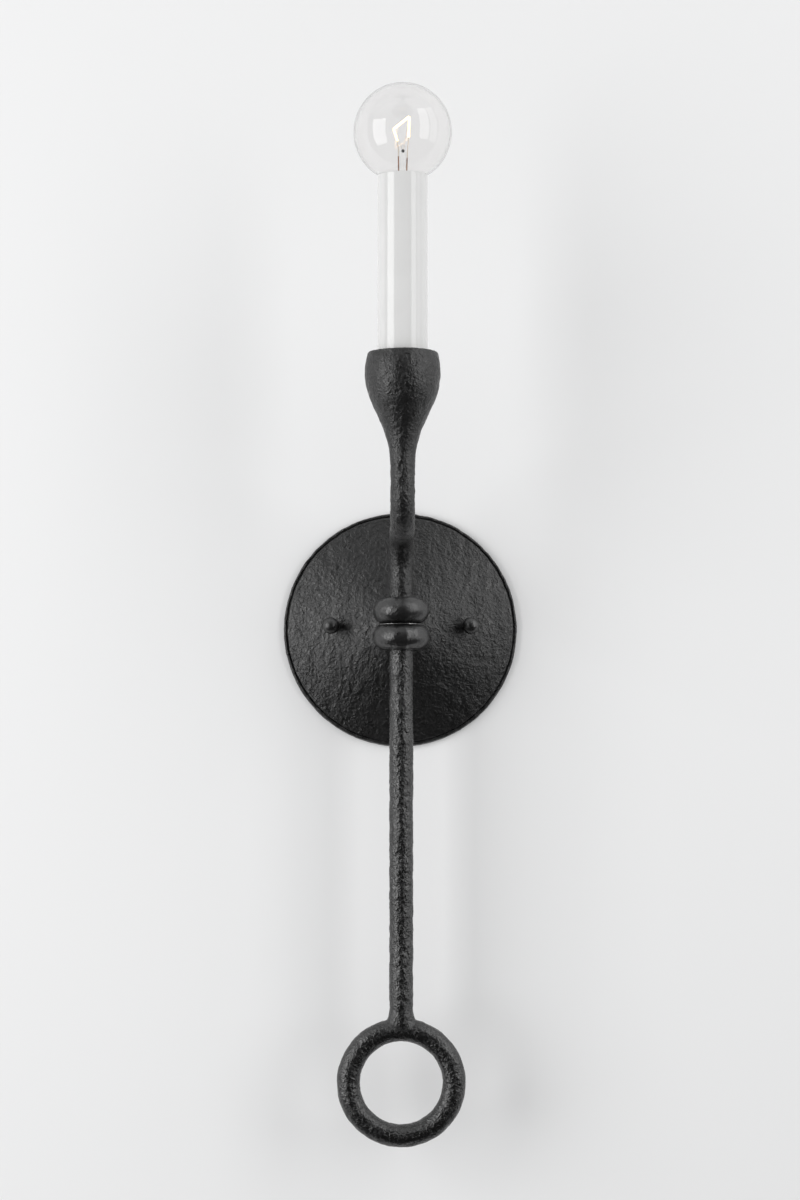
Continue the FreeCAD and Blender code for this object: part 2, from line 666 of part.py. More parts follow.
# Socket body with the threaded shell and the bent centre contact inside it
base_radius = "(base_diameter / 2)"
shell_inside = f"({base_radius} + bulb_thread_fit)"
shell_outside = f"({shell_inside} + thread_depth + base_wall)"
cavity_radius = f"({shell_outside} + slip_fit)"
rivet_bore = "(rivet_diameter / 2 + slip_fit)"
keep(turned("socket_body", [
    (rivet_bore, "0"), (socket_radius, "0"), (socket_radius, socket_height),
    (cavity_radius, socket_height), (cavity_radius, "socket_floor"), (rivet_bore, "socket_floor"),
], ("0", out(cup_depth), socket_bottom)), "socket_body")
contact_top = f"({socket_bottom} + socket_floor + {contact_rise})"
contact_foot = f"({socket_bottom} + socket_floor)"
contact_reach = f"({cavity_radius} - contact_end_gap)"
contact_strip = padded("contact_strip", "YZ_Plane", [
    (f"-{contact_reach}", "0"), (contact_reach, "0"),
    (contact_reach, contact_rise), (f"-{base_radius} / 2", contact_rise),
    (f"-{base_radius} / 2", "contact_height"),
    (f"{contact_reach} - contact_thickness", "contact_height"),
    (f"{contact_reach} - contact_thickness", "contact_thickness"),
    (f"-{contact_reach}", "contact_thickness"),
], "rivet_diameter + 2 * contact_thickness", ("0", out(cup_depth), contact_foot), midplane=True)
contact_hole = cylinder("contact_hole", rivet_bore, "2 * contact_thickness",
                        ("0", out(cup_depth), f"{contact_foot} - contact_thickness / 2"))
keep(cut("socket_contact", contact_strip, [contact_hole]), "socket_contact")
rivet_grip = "(bracket_thickness + socket_floor + contact_thickness)"
rivet_radius = "(rivet_diameter / 2)"
rivet_head = "(rivet_head_diameter / 2)"
keep(turned("socket_rivet", [
    ("0", "-rivet_head_height"), (rivet_head, "-rivet_head_height"), (rivet_head, "0"),
    (rivet_radius, "0"), (rivet_radius, rivet_grip), (rivet_head, rivet_grip),
    (rivet_head, f"{rivet_grip} + rivet_head_height"), ("0", f"{rivet_grip} + rivet_head_height"),
], ("0", out(cup_depth), f"{socket_bottom} - bracket_thickness")), "socket_rivet")

# Bulb heights, from the centre contact up
tip_foot = f"({contact_top} + contact_gap)"
insulator_foot = f"({tip_foot} + tip_height)"
base_foot = f"({insulator_foot} + insulator_height)"
base_top = f"({base_foot} + {base_height})"
root_radius = f"({base_radius} - thread_depth)"


def threads(crest, root, first):
    """Ridges up a wall, one for each turn: points of crest and root radius."""
    points = []
    for turn in range(THREAD_TURNS):
        for radius, share in zip((root, crest, crest, root), THREAD_RIDGE):
            points.append((radius, f"{first} + ({turn} + {share}) * thread_pitch"))
    return points


shell_foot = base_rise
shell_top = f"({base_rise} + {base_height} - turning_gap)"
shell_wide = f"({shell_inside} + thread_depth)"
shell_ridges = threads(shell_wide, shell_inside, shell_foot)
keep(turned("socket_shell", [
    (shell_outside, shell_foot), (shell_outside, shell_top), (shell_inside, shell_top),
] + shell_ridges[::-1] + [(shell_inside, shell_foot)],
    ("0", out(cup_depth), socket_bottom)), "socket_shell")
keep(tube("socket_liner", liner_outside, f"{socket_radius} + liner_fit", socket_height,
          ("0", out(cup_depth), socket_bottom)), "socket_liner")

# Candle sleeve: a plain tube with a rounded top edge, standing on the cup's floor
edge = "(sleeve_wall / 2)"
keep(turned("candle_sleeve", [
    (sleeve_inside, "0"), (sleeve_radius, "0"), (sleeve_radius, f"sleeve_length - {edge}"),
    (f"({sleeve_inside} + {edge})", "sleeve_length", edge),
    (sleeve_inside, f"sleeve_length - {edge}", edge),
], ("0", out(cup_depth), cup_floor)), "candle_sleeve")

# Bulb base: threaded shell, insulator and solder tip
keep(turned("bulb_base", [
    (f"{root_radius} - base_wall", "0"), (root_radius, "0"),
] + threads(base_radius, root_radius, "0") + [
    (radius, f"{THREAD_TURNS} * thread_pitch + {share} * base_skirt")
    for radius, share in zip((root_radius, base_radius), SKIRT_CONE)
] + [
    (base_radius, base_height), (f"{root_radius} - base_wall", base_height),
], ("0", out(cup_depth), base_foot)), "bulb_base")
keep(turned("bulb_insulator", [
    ("0", "0"), ("tip_diameter / 2", "0"), (root_radius, "insulator_height"),
    ("0", "insulator_height"),
], ("0", out(cup_depth), insulator_foot)), "bulb_insulator")
keep(turned("bulb_tip", [
    ("0", "0"), ("tip_diameter / 3", "0"), ("tip_diameter / 2", "tip_height / 2"),
    ("tip_diameter / 2", "tip_height"), ("0", "tip_height"),
], ("0", out(cup_depth), tip_foot)), "bulb_tip")

# Globe: a glass ball with a fillet into its neck, which is cemented in the base
globe_radius = "(globe_diameter / 2)"
globe_seat = f"sqrt({globe_radius} * {globe_radius} - {sleeve_inside} * {sleeve_inside})"
globe_middle = f"({sleeve_top} - {edge} + {globe_seat} + globe_rim_gap)"
globe_rise = f"({globe_middle} - {base_top})"
glass_neck = "(globe_neck_diameter / 2)"
glass_root = f"({root_radius} - base_wall - slip_fit)"
fillet_across = f"({glass_neck} + globe_fillet)"
fillet_span = f"({globe_radius} + globe_fillet)"
fillet_drop = f"sqrt({fillet_span} * {fillet_span} - {fillet_across} * {fillet_across})"
outer_share = f"({globe_radius} / {fillet_span})"
inner_globe = f"({globe_radius} - globe_wall)"
inner_share = f"({inner_globe} / {fillet_span})"
root_drop = "(base_skirt + thread_pitch)"
keep(turned("bulb_globe", [
    (f"{glass_root} - globe_wall", f"-{root_drop}"),
    (glass_root, f"-{root_drop}"),
    (glass_root, "slip_fit"),
    (glass_neck, "slip_fit"),
    (glass_neck, f"{globe_rise} - {fillet_drop}"),
    (f"{fillet_across} * {outer_share}", f"{globe_rise} - {fillet_drop} * {outer_share}",
     "-globe_fillet"),
    (globe_radius, globe_rise, globe_radius),
    ("0", f"{globe_rise} + {globe_radius}", globe_radius),
    ("0", f"{globe_rise} + {inner_globe}"),
    (inner_globe, globe_rise, f"-{inner_globe}"),
    (f"{fillet_across} * {inner_share}", f"{globe_rise} - {fillet_drop} * {inner_share}",
     f"-{inner_globe}"),
    (f"{glass_neck} - globe_wall", f"{globe_rise} - {fillet_drop}", "(globe_fillet + globe_wall)"),
    (f"{glass_neck} - globe_wall", "slip_fit + globe_wall"),
    (f"{glass_root} - globe_wall", "slip_fit + globe_wall"),
], ("0", out(cup_depth), base_top)), "bulb_globe")

# Glass stem: a flared foot and a rod that holds the lead wires
stem_radius = "(stem_diameter / 2)"
stem_top = f"({globe_rise} - stem_top_drop)"
keep(turned("bulb_stem", [
    ("0", f"-{root_drop}"),
    (f"{glass_root} - globe_wall - slip_fit", f"-{root_drop}"),
    (f"{glass_root} - globe_wall - slip_fit", f"globe_wall - {root_drop}"),
    (stem_radius, "0"), (stem_radius, f"{stem_top} - {stem_radius}"),
    ("0", stem_top, stem_radius),
], ("0", out(cup_depth), base_top)), "bulb_stem")


def routed(points, radii):
    """Edges of straight runs joined by tangent arcs, through points with a radius at each corner."""
    edges = []
    start = points[0]
    for before, corner, after, radius in zip(points, points[1:], points[2:], radii):
        inward = (before - corner).normalize()
        outward = (after - corner).normalize()
        half_turn = (math.pi - inward.getAngle(outward)) / 2
        trim = radius * math.tan(half_turn)
        first, last = corner + inward * trim, corner + outward * trim
        middle = (inward + outward).normalize()
        crest = corner + middle * (radius / math.cos(half_turn) - radius)
        edges += [Part.LineSegment(start, first).toShape(), Part.Arc(first, crest, last).toShape()]
        start = last
    return edges + [Part.LineSegment(start, points[-1]).toShape()]


def wire_solid(name, edges, thickness, at=None):
    """A round wire of one thickness along a path, checked against section times length."""
    path = Part.Wire(edges)
    first = edges[0]
    heading = first.tangentAt(first.FirstParameter)
    section = Part.Wire(Part.makeCircle(thickness / 2, first.valueAt(first.FirstParameter), heading))
    solid = path.makePipeShell([section], True, False)
    expected = math.pi * thickness ** 2 / 4 * path.Length
    bends = sorted({round(edge.Curve.Radius, 2) for edge in edges if hasattr(edge.Curve, "Radius")})
    print(f"{name}: length {path.Length:.1f}, bend radii {bends}, "
          f"volume over section times length {solid.Volume / expected:.4f}")
    piece = doc.addObject("Part::Feature", name)
    piece.Shape = solid
    if at:
        piece.Placement = FreeCAD.Placement(at, FreeCAD.Rotation())
    return piece


# Bulb wires: two leads up the stem's sides, and the bent filament between their tips
centre = Vector(0, -value(cup_depth), value(globe_middle))
wire_side = value("stem_diameter / 2 + bulb_lead_thickness / 2 + slip_fit")
lead_foot = -value(globe_rise) + value("slip_fit")
bulb_leads = []
filament_ends = []
for side, sign in knob_sides.items():
    side_x = float(sign) * wire_side
    turn_out = Vector(side_x, 0, -value("lead_bend_drop"))
    tip = Vector(side_x + float(sign) * value(f"{side}_lead_lean"), 0, -value(f"{side}_lead_drop"))
    bulb_leads.append(wire_solid(f"bulb_lead_{side}", routed(
        [Vector(side_x, 0, lead_foot), turn_out, tip], [value("3 * bulb_lead_thickness")]),
        value("bulb_lead_thickness"), centre))
    filament_ends.append(tip + Vector(0, 0, value("filament_thickness / 2 + slip_fit")))
keep(grouped("bulb_leads", bulb_leads), "bulb_leads")
filament_bow = value("filament_bow")
filament_points = [
    filament_ends[0],
    Vector(-value("filament_side"), -filament_bow, value("filament_side_rise")),
    Vector(value("filament_peak_side"), filament_bow, value("filament_peak_rise")),
    filament_ends[1],
]
keep(wire_solid("bulb_filament", routed(filament_points, [value("filament_thickness")] * 2),
                value("filament_thickness"), centre), "bulb_filament")

# Supply leads: from the socket down the nipple and the neck, through the knuckle's
# chamber and back nipple, and out each side behind the plate to a wire nut
nut_depth = "(wire_nut_diameter / 2 + turning_gap)"
diagonal = math.sqrt(0.5)
socket_foot = value(socket_bottom)
nipple_mouth = value(f"{clamp_top} + nipple_stand")
third = (socket_foot - nipple_mouth) / 3
cup_y = -value(cup_depth)
rod_y = -value(rod_depth)
line_z = value("hole_line")
for colour, sign in (("white", -1), ("black", 1)):
    exit_x = sign * value("lead_exit_spacing / 2")
    bore_x = sign * value(lead_side)
    turn_out = Vector(bore_x, -value(nut_depth), line_z)
    run_out = value("wire_nut_mouth + wire_nut_grip - slip_fit") * diagonal
    corners = [
        Vector(exit_x, cup_y, socket_foot),
        Vector(exit_x, cup_y, socket_foot - third),
        Vector(bore_x, cup_y, nipple_mouth + third),
        Vector(bore_x, cup_y, value(neck_cross)),
        Vector(bore_x, rod_y, value(neck_cross)),
        Vector(bore_x, rod_y, line_z),
        turn_out,
        turn_out + Vector(sign * run_out, 0, run_out),
    ]
    neck_bend = value("neck_bend_radius")
    radii = [third, third, neck_bend, neck_bend, value("chamber_bend"), value("canopy_bend")]
    keep(wire_solid(f"lead_{colour}", routed(corners, radii), value("lead_diameter")),
         f"lead_{colour}")

# Ground screw in the strap's lower arm, with a driver slot across its head
ground_line = "(hole_line - ground_screw_drop)"
ground_shank = "(ground_screw_diameter / 2)"
ground_head = "(ground_head_diameter / 2)"
head_foot = "(strap_thickness + ground_wire_diameter + slip_fit)"
head_face = f"({head_foot} + ground_head_height)"
screw_blank = turned("ground_screw_blank", [
    ("0", "0"), (ground_shank, "0"), (ground_shank, head_foot), (ground_head, head_foot),
    (ground_head, head_face), ("0", head_face),
], ("0", "0", ground_line), OUTWARD)
driver_slot = doc.addObject("Part::Box", "driver_slot")
bind(driver_slot, "Length", "ground_head_diameter + 2")
bind(driver_slot, "Width", "ground_head_height / 2 + 1")
bind(driver_slot, "Height", "ground_head_height / 2")
place(driver_slot, (f"-({ground_head} + 1)", f"-({head_face} + 1)",
                    f"{ground_line} - ground_head_height / 4"))
keep(cut("ground_screw", screw_blank, [driver_slot]), "ground_screw")

# Bare ground wire: a hook under the screw's head, then up off the strap to its wire nut
wire_lift = value("strap_thickness + ground_wire_diameter / 2")
hook = value(f"{ground_shank} + ground_wire_diameter / 2 + slip_fit")
hook_z = value(ground_line)
nut_mouth_x = "-(strap_width / 2 + ground_nut_gap)"
nut_line = f"({ground_line} + {ground_shank} + ground_wire_diameter / 2 + slip_fit)"


def hook_point(degrees):
    angle = math.radians(degrees)
    return Vector(hook * math.cos(angle), -wire_lift, hook_z + hook * math.sin(angle))


hook_edge = Part.Arc(hook_point(180), hook_point(315), hook_point(90)).toShape()
mouth_x = value(nut_mouth_x)
lifted_x = mouth_x + value("ground_wire_straight")
nut_y = -value(nut_depth)
tail = routed([
    hook_point(90),
    Vector(lifted_x / 2, -wire_lift, value(nut_line)),
    Vector(lifted_x, nut_y, value(nut_line)),
    Vector(mouth_x - value("wire_nut_grip - slip_fit"), nut_y, value(nut_line)),
], [value("canopy_bend")] * 2)
keep(wire_solid("ground_wire", [hook_edge] + tail, value("ground_wire_diameter")), "ground_wire")

# Wire nuts: tapered caps on the ends of the two leads and the ground wire
nut_outside = "(wire_nut_diameter / 2)"
nut_tip = "(wire_nut_tip_diameter / 2)"
wire_nuts = []
for name, at, heading, wire in (
        ("white", (f"-({lead_side} + wire_nut_mouth * {diagonal})", out(nut_depth),
                   f"hole_line + wire_nut_mouth * {diagonal}"), Vector(-1, 0, 1), "lead_diameter"),
        ("black", (f"{lead_side} + wire_nut_mouth * {diagonal}", out(nut_depth),
                   f"hole_line + wire_nut_mouth * {diagonal}"), Vector(1, 0, 1), "lead_diameter"),
        ("ground", (nut_mouth_x, out(nut_depth), nut_line), Vector(-1, 0, 0),
         "ground_wire_diameter")):
    bore = f"({wire} / 2 + slip_fit)"
    wire_nuts.append(turned(f"wire_nut_{name}", [
        (bore, "0"), (nut_outside, "0"), (nut_outside, "wire_nut_skirt"),
        ("wire_nut_shoulder_diameter / 2", "wire_nut_shoulder"),
        (nut_tip, "wire_nut_length"), ("0", "wire_nut_length"),
        ("0", "wire_nut_grip"), (bore, "wire_nut_grip"),
    ], at, FreeCAD.Rotation(Vector(0, 0, 1), heading)))
keep(grouped("wire_nuts", wire_nuts), "wire_nuts")

# Check every object, then write one file for each node
doc.recompute()
for obj in doc.Objects:
    if {"Invalid", "Error"} & set(obj.State):
        raise RuntimeError(f"{obj.Label} failed to build: {obj.State}")
for name, obj in nodes.items():
    if obj.Shape.isNull() or not obj.Shape.isValid():
        raise RuntimeError(f"{name} has no valid shape")
os.makedirs("parts", exist_ok=True)
for name, obj in nodes.items():
    obj.Shape.exportStep(f"parts/{name}.step")
print(len(nodes), "nodes,", sum(len(obj.Shape.Solids) for obj in nodes.values()), "solids")
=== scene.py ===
# %% [markdown]
# # A hammered iron torch sconce
#
# The sconce is a black iron wall light. A round plate sits on the wall, a rod with a ring hangs from its
# knuckle, and a bent neck carries a torch cup, a white candle sleeve and a clear globe bulb.
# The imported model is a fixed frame: it says where each piece is. Here each visible piece gets its finer shape,
# such as hammer marks, soft cast edges and real glass walls, and each surface gets its finish.

# %% Load the frame
import math

import bmesh
import bpy
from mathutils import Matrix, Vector
from mathutils.noise import noise as noise_at


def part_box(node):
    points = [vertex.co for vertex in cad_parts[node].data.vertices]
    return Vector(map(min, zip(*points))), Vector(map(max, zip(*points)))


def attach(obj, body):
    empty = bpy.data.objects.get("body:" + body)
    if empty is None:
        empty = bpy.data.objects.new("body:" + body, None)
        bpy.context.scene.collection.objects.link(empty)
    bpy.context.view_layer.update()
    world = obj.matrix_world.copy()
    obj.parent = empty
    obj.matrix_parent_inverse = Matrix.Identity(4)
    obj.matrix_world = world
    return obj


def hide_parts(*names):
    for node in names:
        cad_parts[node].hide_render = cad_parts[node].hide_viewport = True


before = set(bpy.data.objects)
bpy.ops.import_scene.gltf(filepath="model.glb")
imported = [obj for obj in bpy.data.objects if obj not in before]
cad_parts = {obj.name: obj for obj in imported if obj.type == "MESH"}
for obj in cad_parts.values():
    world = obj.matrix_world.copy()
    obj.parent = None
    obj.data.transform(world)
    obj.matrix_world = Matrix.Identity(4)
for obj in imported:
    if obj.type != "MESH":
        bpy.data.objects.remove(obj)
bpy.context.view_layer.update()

MM = 0.001

# %% [markdown]
# ## Where things are
#
# Blender works in metres, and the frame gives every node's box. The few places that the pieces below share are
# read from these boxes once, so that nothing has to be fitted by eye.

# %% Shared places
UP = Vector((0, 0, 1))
OUT = Vector((0, -1, 0))


def middle(node):
    low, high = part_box(node)
    return (low + high) / 2


cup_axis = middle("candle_sleeve").y
knob_height = middle("knob_left").z
print("the candle stands", round(-cup_axis / MM, 1), "mm in front of the wall")

# %% [markdown]
# ## The camera
#
# The picture was taken from about 1.6 metres away, straight at the wall, from a point a little to the left of
# the sconce and below its middle. A shifted lens keeps the upright lines upright, as a view camera does.

# %% Camera
FRAME_HEIGHT_PIXELS = 1200
FOCAL_PIXELS = 2900
SENSOR = 36.0
EYE = Vector((-0.020, -1.580, -0.0707))
AXIS_LEFT_OF_MIDDLE = 36.4
AXIS_BELOW_MIDDLE = 160

lens = bpy.data.cameras.new("View camera")
lens.sensor_width = SENSOR
lens.lens = SENSOR * FOCAL_PIXELS / FRAME_HEIGHT_PIXELS
lens.shift_x = AXIS_LEFT_OF_MIDDLE / FRAME_HEIGHT_PIXELS
lens.shift_y = AXIS_BELOW_MIDDLE / FRAME_HEIGHT_PIXELS
lens.clip_start = 0.05
camera = bpy.data.objects.new("View camera", lens)
camera.location = EYE
camera.rotation_euler = (math.pi / 2, 0, 0)
bpy.context.collection.objects.link(camera)
bpy.context.scene.camera = camera
bpy.context.scene.view_settings.view_transform = "Standard"
print("lens", lens.lens, "mm")

# %% [markdown]
# ## Light
#
# Two tall softboxes stand left and right of the sconce. Black iron shows almost nothing but reflections, so these
# boxes draw a bright band on each side of every round form and leave its middle dark. The left box is the
# stronger one. The right one stands higher and has a weaker reflector beside it. Their angles come from where
# they show in the glass globe and on the glossy sleeve. They aren't seen through glass, so that the globe stays
# clear from every side. A weak lamp behind the wall only serves someone who looks at the plate's back.

# %% Softboxes
BOX_DISTANCE = 1.6


def softbox(name, angles, heights, brightness):
    """A lamp that fills the given angles and heights.

    angles are in degrees to the right of the wall's normal, heights in metres, and brightness is its radiance.
    """
    near, far = (math.radians(angle) for angle in angles)
    low, high = heights
    around = (near + far) / 2
    light = bpy.data.lights.new(name, "AREA")
    light.shape = "RECTANGLE"
    light.size, light.size_y = 2 * BOX_DISTANCE * math.tan(abs(far - near) / 2), high - low
    light.energy = brightness * math.pi * light.size * light.size_y
    lamp = bpy.data.objects.new(name, light)
    toward = Vector((math.sin(around), -math.cos(around), 0))
    lamp.location = toward * BOX_DISTANCE + UP * (low + high) / 2
    lamp.rotation_euler = toward.to_track_quat("Z", "Y").to_euler()
    lamp.visible_camera = False
    lamp.visible_transmission = False
    bpy.context.collection.objects.link(lamp)
    print(name, "is", round(light.size, 2), "m wide and", round(light.size_y, 2), "m high")


softbox("Left softbox", (-39, -71), (-0.66, 0.86), 4.1)
softbox("Right softbox", (37.5, 60.5), (-0.33, 1.70), 2.8)
softbox("Right reflector", (64, 84), (-0.33, 1.70), 1.5)
softbox("Lamp behind the wall", (165, 195), (-0.4, 1.2), 2.4)

# %% [markdown]
# ## The wall and the room
#
# The wall is the only backdrop. It is painted a near-white that, at this light, shows as a pale grey. Seen from
# behind it is clear, and it lets the lamp behind it through, so that the back of the plate can be looked at.
# What the iron mirrors of the room is pale on the wall's side and above, and dark behind the camera and below,
# which keeps the fronts of the forms dark.

# %% Node helpers


def new_material(name):
    """A new material and its Principled shader."""
    material = bpy.data.materials.new(name)
    material.use_nodes = True
    shader = material.node_tree.nodes["Principled BSDF"]
    return material, shader


def add_node(tree, kind, settings=None, **inputs):
    """Adds a node. An input is a value, or a socket to link from.

    Inputs go by name, with underscores for spaces, or by number, as i0 and i1.
    """
    node = tree.nodes.new(kind)
    for setting, value in (settings or {}).items():
        setattr(node, setting, value)
    for title, value in inputs.items():
        socket = node.inputs[int(title[1:])] if title[1:].isdigit() else node.inputs[title.replace("_", " ")]
        if isinstance(value, bpy.types.NodeSocket):
            tree.links.new(value, socket)
        else:
            socket.default_value = value
    return node


def math_node(tree, operation, first, second=0.0):
    return add_node(tree, "ShaderNodeMath", {"operation": operation}, i0=first, i1=second).outputs[0]


# A Mix node has sockets for every data type, so its colours go by number
MIX_FACTOR, MIX_FIRST, MIX_SECOND = 0, 6, 7
MIX_RESULT = 2


def mix_colour(tree, factor, first, second):
    mixed = add_node(tree, "ShaderNodeMix", {"data_type": "RGBA"})
    for place, value in ((MIX_FACTOR, factor), (MIX_FIRST, first), (MIX_SECOND, second)):
        if isinstance(value, bpy.types.NodeSocket):
            tree.links.new(value, mixed.inputs[place])
        else:
            mixed.inputs[place].default_value = value
    return mixed.outputs[MIX_RESULT]


# %% Wall
WALL_COLOUR = (0.785, 0.787, 0.790, 1)
WALL_GAP = 0.4 * MM
WALL_REACH = 1.8

wall_mesh = bpy.data.meshes.new("Wall")
wall_mesh.from_pydata([(x, WALL_GAP, z) for x, z in (
    (-WALL_REACH, -WALL_REACH), (WALL_REACH, -WALL_REACH), (WALL_REACH, WALL_REACH), (-WALL_REACH, WALL_REACH),
)], [], [(0, 1, 2, 3)])
wall = bpy.data.objects.new("Wall", wall_mesh)
bpy.context.collection.objects.link(wall)

paint, paint_shader = new_material("Wall paint")
paint_shader.inputs["Base Color"].default_value = WALL_COLOUR
paint_shader.inputs["Roughness"].default_value = 0.9
paint_shader.inputs["Specular IOR Level"].default_value = 0.1
tree = paint.node_tree
facing = add_node(tree, "ShaderNodeNewGeometry")
ray = add_node(tree, "ShaderNodeLightPath")
see_through = math_node(tree, "MAXIMUM", facing.outputs["Backfacing"], ray.outputs["Is Shadow Ray"])
clear = add_node(tree, "ShaderNodeBsdfTransparent")
one_sided = add_node(tree, "ShaderNodeMixShader", i0=see_through, i1=paint_shader.outputs[0], i2=clear.outputs[0])
tree.links.new(one_sided.outputs[0], tree.nodes["Material Output"].inputs["Surface"])
wall_mesh.materials.append(paint)

# %% Room
ROOM_FILL = (0.50, 0.50, 0.50, 1)
ROOM_PALE = (0.86, 0.865, 0.87, 1)
ROOM_DARK = (0.03, 0.03, 0.031, 1)
WALL_SIDE = (-0.06, 0.18)
CEILING = (0.35, 0.80)


def room_part(axis, span):
    """0 to 1 as a direction turns through that span of one axis."""
    place = add_node(tree, "ShaderNodeSeparateXYZ", i0=direction).outputs[axis]
    return add_node(tree, "ShaderNodeMapRange", {"interpolation_type": "SMOOTHSTEP"},
                    Value=place, From_Min=span[0], From_Max=span[1]).outputs[0]


room = bpy.data.worlds.new("Studio")
room.use_nodes = True
bpy.context.scene.world = room
tree = room.node_tree
ray = add_node(tree, "ShaderNodeLightPath")
direction = add_node(tree, "ShaderNodeTexCoord").outputs["Generated"]
pale_part = math_node(tree, "MAXIMUM", room_part("Y", WALL_SIDE), room_part("Z", CEILING))
mirrored = mix_colour(tree, pale_part, ROOM_DARK, ROOM_PALE)
seen = math_node(tree, "MAXIMUM", ray.outputs["Is Camera Ray"], ray.outputs["Is Transmission Ray"])
lit = mix_colour(tree, ray.outputs["Is Glossy Ray"], ROOM_FILL, mirrored)
shown = mix_colour(tree, seen, lit, ROOM_PALE)
tree.links.new(shown, tree.nodes["Background"].inputs["Color"])
print("wall and room made")

# %% [markdown]
# ## Surface effects that several finishes share
#
# Hammered iron, zinc, brass and moulded parts all need some unevenness, but of different kinds. Each effect is a
# node group with named inputs, so every material can use it with its own values. A group only gives colours,
# masks and heights. The shader itself stays in the material.

# %% Group helpers


def new_group(name, inputs, outputs, kind="ShaderNodeTree"):
    """A node group whose sockets are (name, type, default) rows."""
    group = bpy.data.node_groups.new(name, kind)
    for title, socket_type, default in inputs:
        socket = group.interface.new_socket(title, in_out="INPUT", socket_type=f"NodeSocket{socket_type}")
        if default is not None:
            socket.default_value = default
    for title, socket_type in outputs:
        group.interface.new_socket(title, in_out="OUTPUT", socket_type=f"NodeSocket{socket_type}")
    return group, group.nodes.new("NodeGroupInput"), group.nodes.new("NodeGroupOutput")


def noise(tree, place, scale, detail=2.0, roughness=0.5, distortion=0.0):
    return add_node(tree, "ShaderNodeTexNoise", Vector=place, Scale=scale, Detail=detail,
                    Roughness=roughness, Distortion=distortion).outputs[0]


def spread(tree, value, low, high):
    """0 to 1 as a value rises from low to high, with soft ends."""
    return add_node(tree, "ShaderNodeMapRange", {"interpolation_type": "SMOOTHSTEP"},
                    Value=value, From_Min=low, From_Max=high).outputs[0]


# %% Forged skin group
CLOUD_SCALE = 140.0
GRIT_SCALE = 3200.0
GRIT_SHARE = 0.25

skin, given, result = new_group("Forged skin", [
    ("Dark", "Color", (0.0015, 0.0015, 0.0015, 1)),
    ("Light", "Color", (0.0055, 0.0054, 0.0052, 1)),
    ("Pit Scale", "Float", 560.0),
    ("Smooth", "Float", 0.22),
    ("Rough", "Float", 0.36),
], [("Color", "Color"), ("Roughness", "Float"), ("Height", "Float")])
place = add_node(skin, "ShaderNodeTexCoord").outputs["Object"]
clouds = spread(skin, noise(skin, place, CLOUD_SCALE, 3.0), 0.35, 0.65)
pits = noise(skin, place, given.outputs["Pit Scale"], 3.0, 0.6, 0.4)
grit = noise(skin, place, GRIT_SCALE, 2.0)
worn = math_node(skin, "MULTIPLY", clouds, spread(skin, pits, 0.45, 0.62))
skin.links.new(mix_colour(skin, worn, given.outputs["Dark"], given.outputs["Light"]), result.inputs["Color"])
rough_mix = add_node(skin, "ShaderNodeMapRange", Value=worn, To_Min=given.outputs["Rough"],
                     To_Max=given.outputs["Smooth"])
skin.links.new(rough_mix.outputs[0], result.inputs["Roughness"])
height = math_node(skin, "ADD", spread(skin, pits, 0.3, 0.7), math_node(skin, "MULTIPLY", grit, GRIT_SHARE))
skin.links.new(height, result.inputs["Height"])

# %% Mottle group
mottle, given, result = new_group("Mottle", [
    ("Main", "Color", (0.5, 0.5, 0.5, 1)),
    ("Stain", "Color", (0.3, 0.3, 0.3, 1)),
    ("Patch Scale", "Float", 200.0),
    ("Grain Scale", "Float", 2500.0),
    ("Stretch", "Vector", (1.0, 1.0, 1.0)),
    ("Smooth", "Float", 0.25),
    ("Rough", "Float", 0.45),
], [("Color", "Color"), ("Roughness", "Float"), ("Height", "Float")])
place = add_node(mottle, "ShaderNodeTexCoord").outputs["Object"]
stretched = add_node(mottle, "ShaderNodeVectorMath", {"operation": "MULTIPLY"},
                     i0=place, i1=given.outputs["Stretch"]).outputs[0]
patches = spread(mottle, noise(mottle, place, given.outputs["Patch Scale"], 4.0), 0.38, 0.68)
grain = noise(mottle, stretched, given.outputs["Grain Scale"], 3.0)
mottle.links.new(mix_colour(mottle, patches, given.outputs["Main"], given.outputs["Stain"]),
                 result.inputs["Color"])
blotch = math_node(mottle, "MULTIPLY", math_node(mottle, "ADD", patches, grain), 0.5)
rough_mix = add_node(mottle, "ShaderNodeMapRange", Value=blotch, To_Min=given.outputs["Smooth"],
                     To_Max=given.outputs["Rough"])
mottle.links.new(rough_mix.outputs[0], result.inputs["Roughness"])
mottle.links.new(grain, result.inputs["Height"])
print("node groups:", [group.name for group in bpy.data.node_groups])

# %% [markdown]
# ## Finishes
#
# Each finish is one material. The function below places a group in it, feeds colour, roughness and a bump from
# the group, and leaves plain numbers such as metallic on the shader's own sockets.

# %% Finish helper


def finish(name, group, bump_strength, bump_depth, plain=None, **values):
    """A material whose unevenness comes from a group. plain holds the shader's own numbers."""
    material, shader = new_material(name)
    tree = material.node_tree
    effect = tree.nodes.new("ShaderNodeGroup")
    effect.node_tree = group
    for title, value in values.items():
        effect.inputs[title.replace("_", " ")].default_value = value
    tree.links.new(effect.outputs["Color"], shader.inputs["Base Color"])
    tree.links.new(effect.outputs["Roughness"], shader.inputs["Roughness"])
    bump = add_node(tree, "ShaderNodeBump", Strength=bump_strength, Distance=bump_depth,
                    Height=effect.outputs["Height"])
    tree.links.new(bump.outputs[0], shader.inputs["Normal"])
    for title, value in (plain or {}).items():
        shader.inputs[title].default_value = value
    return material


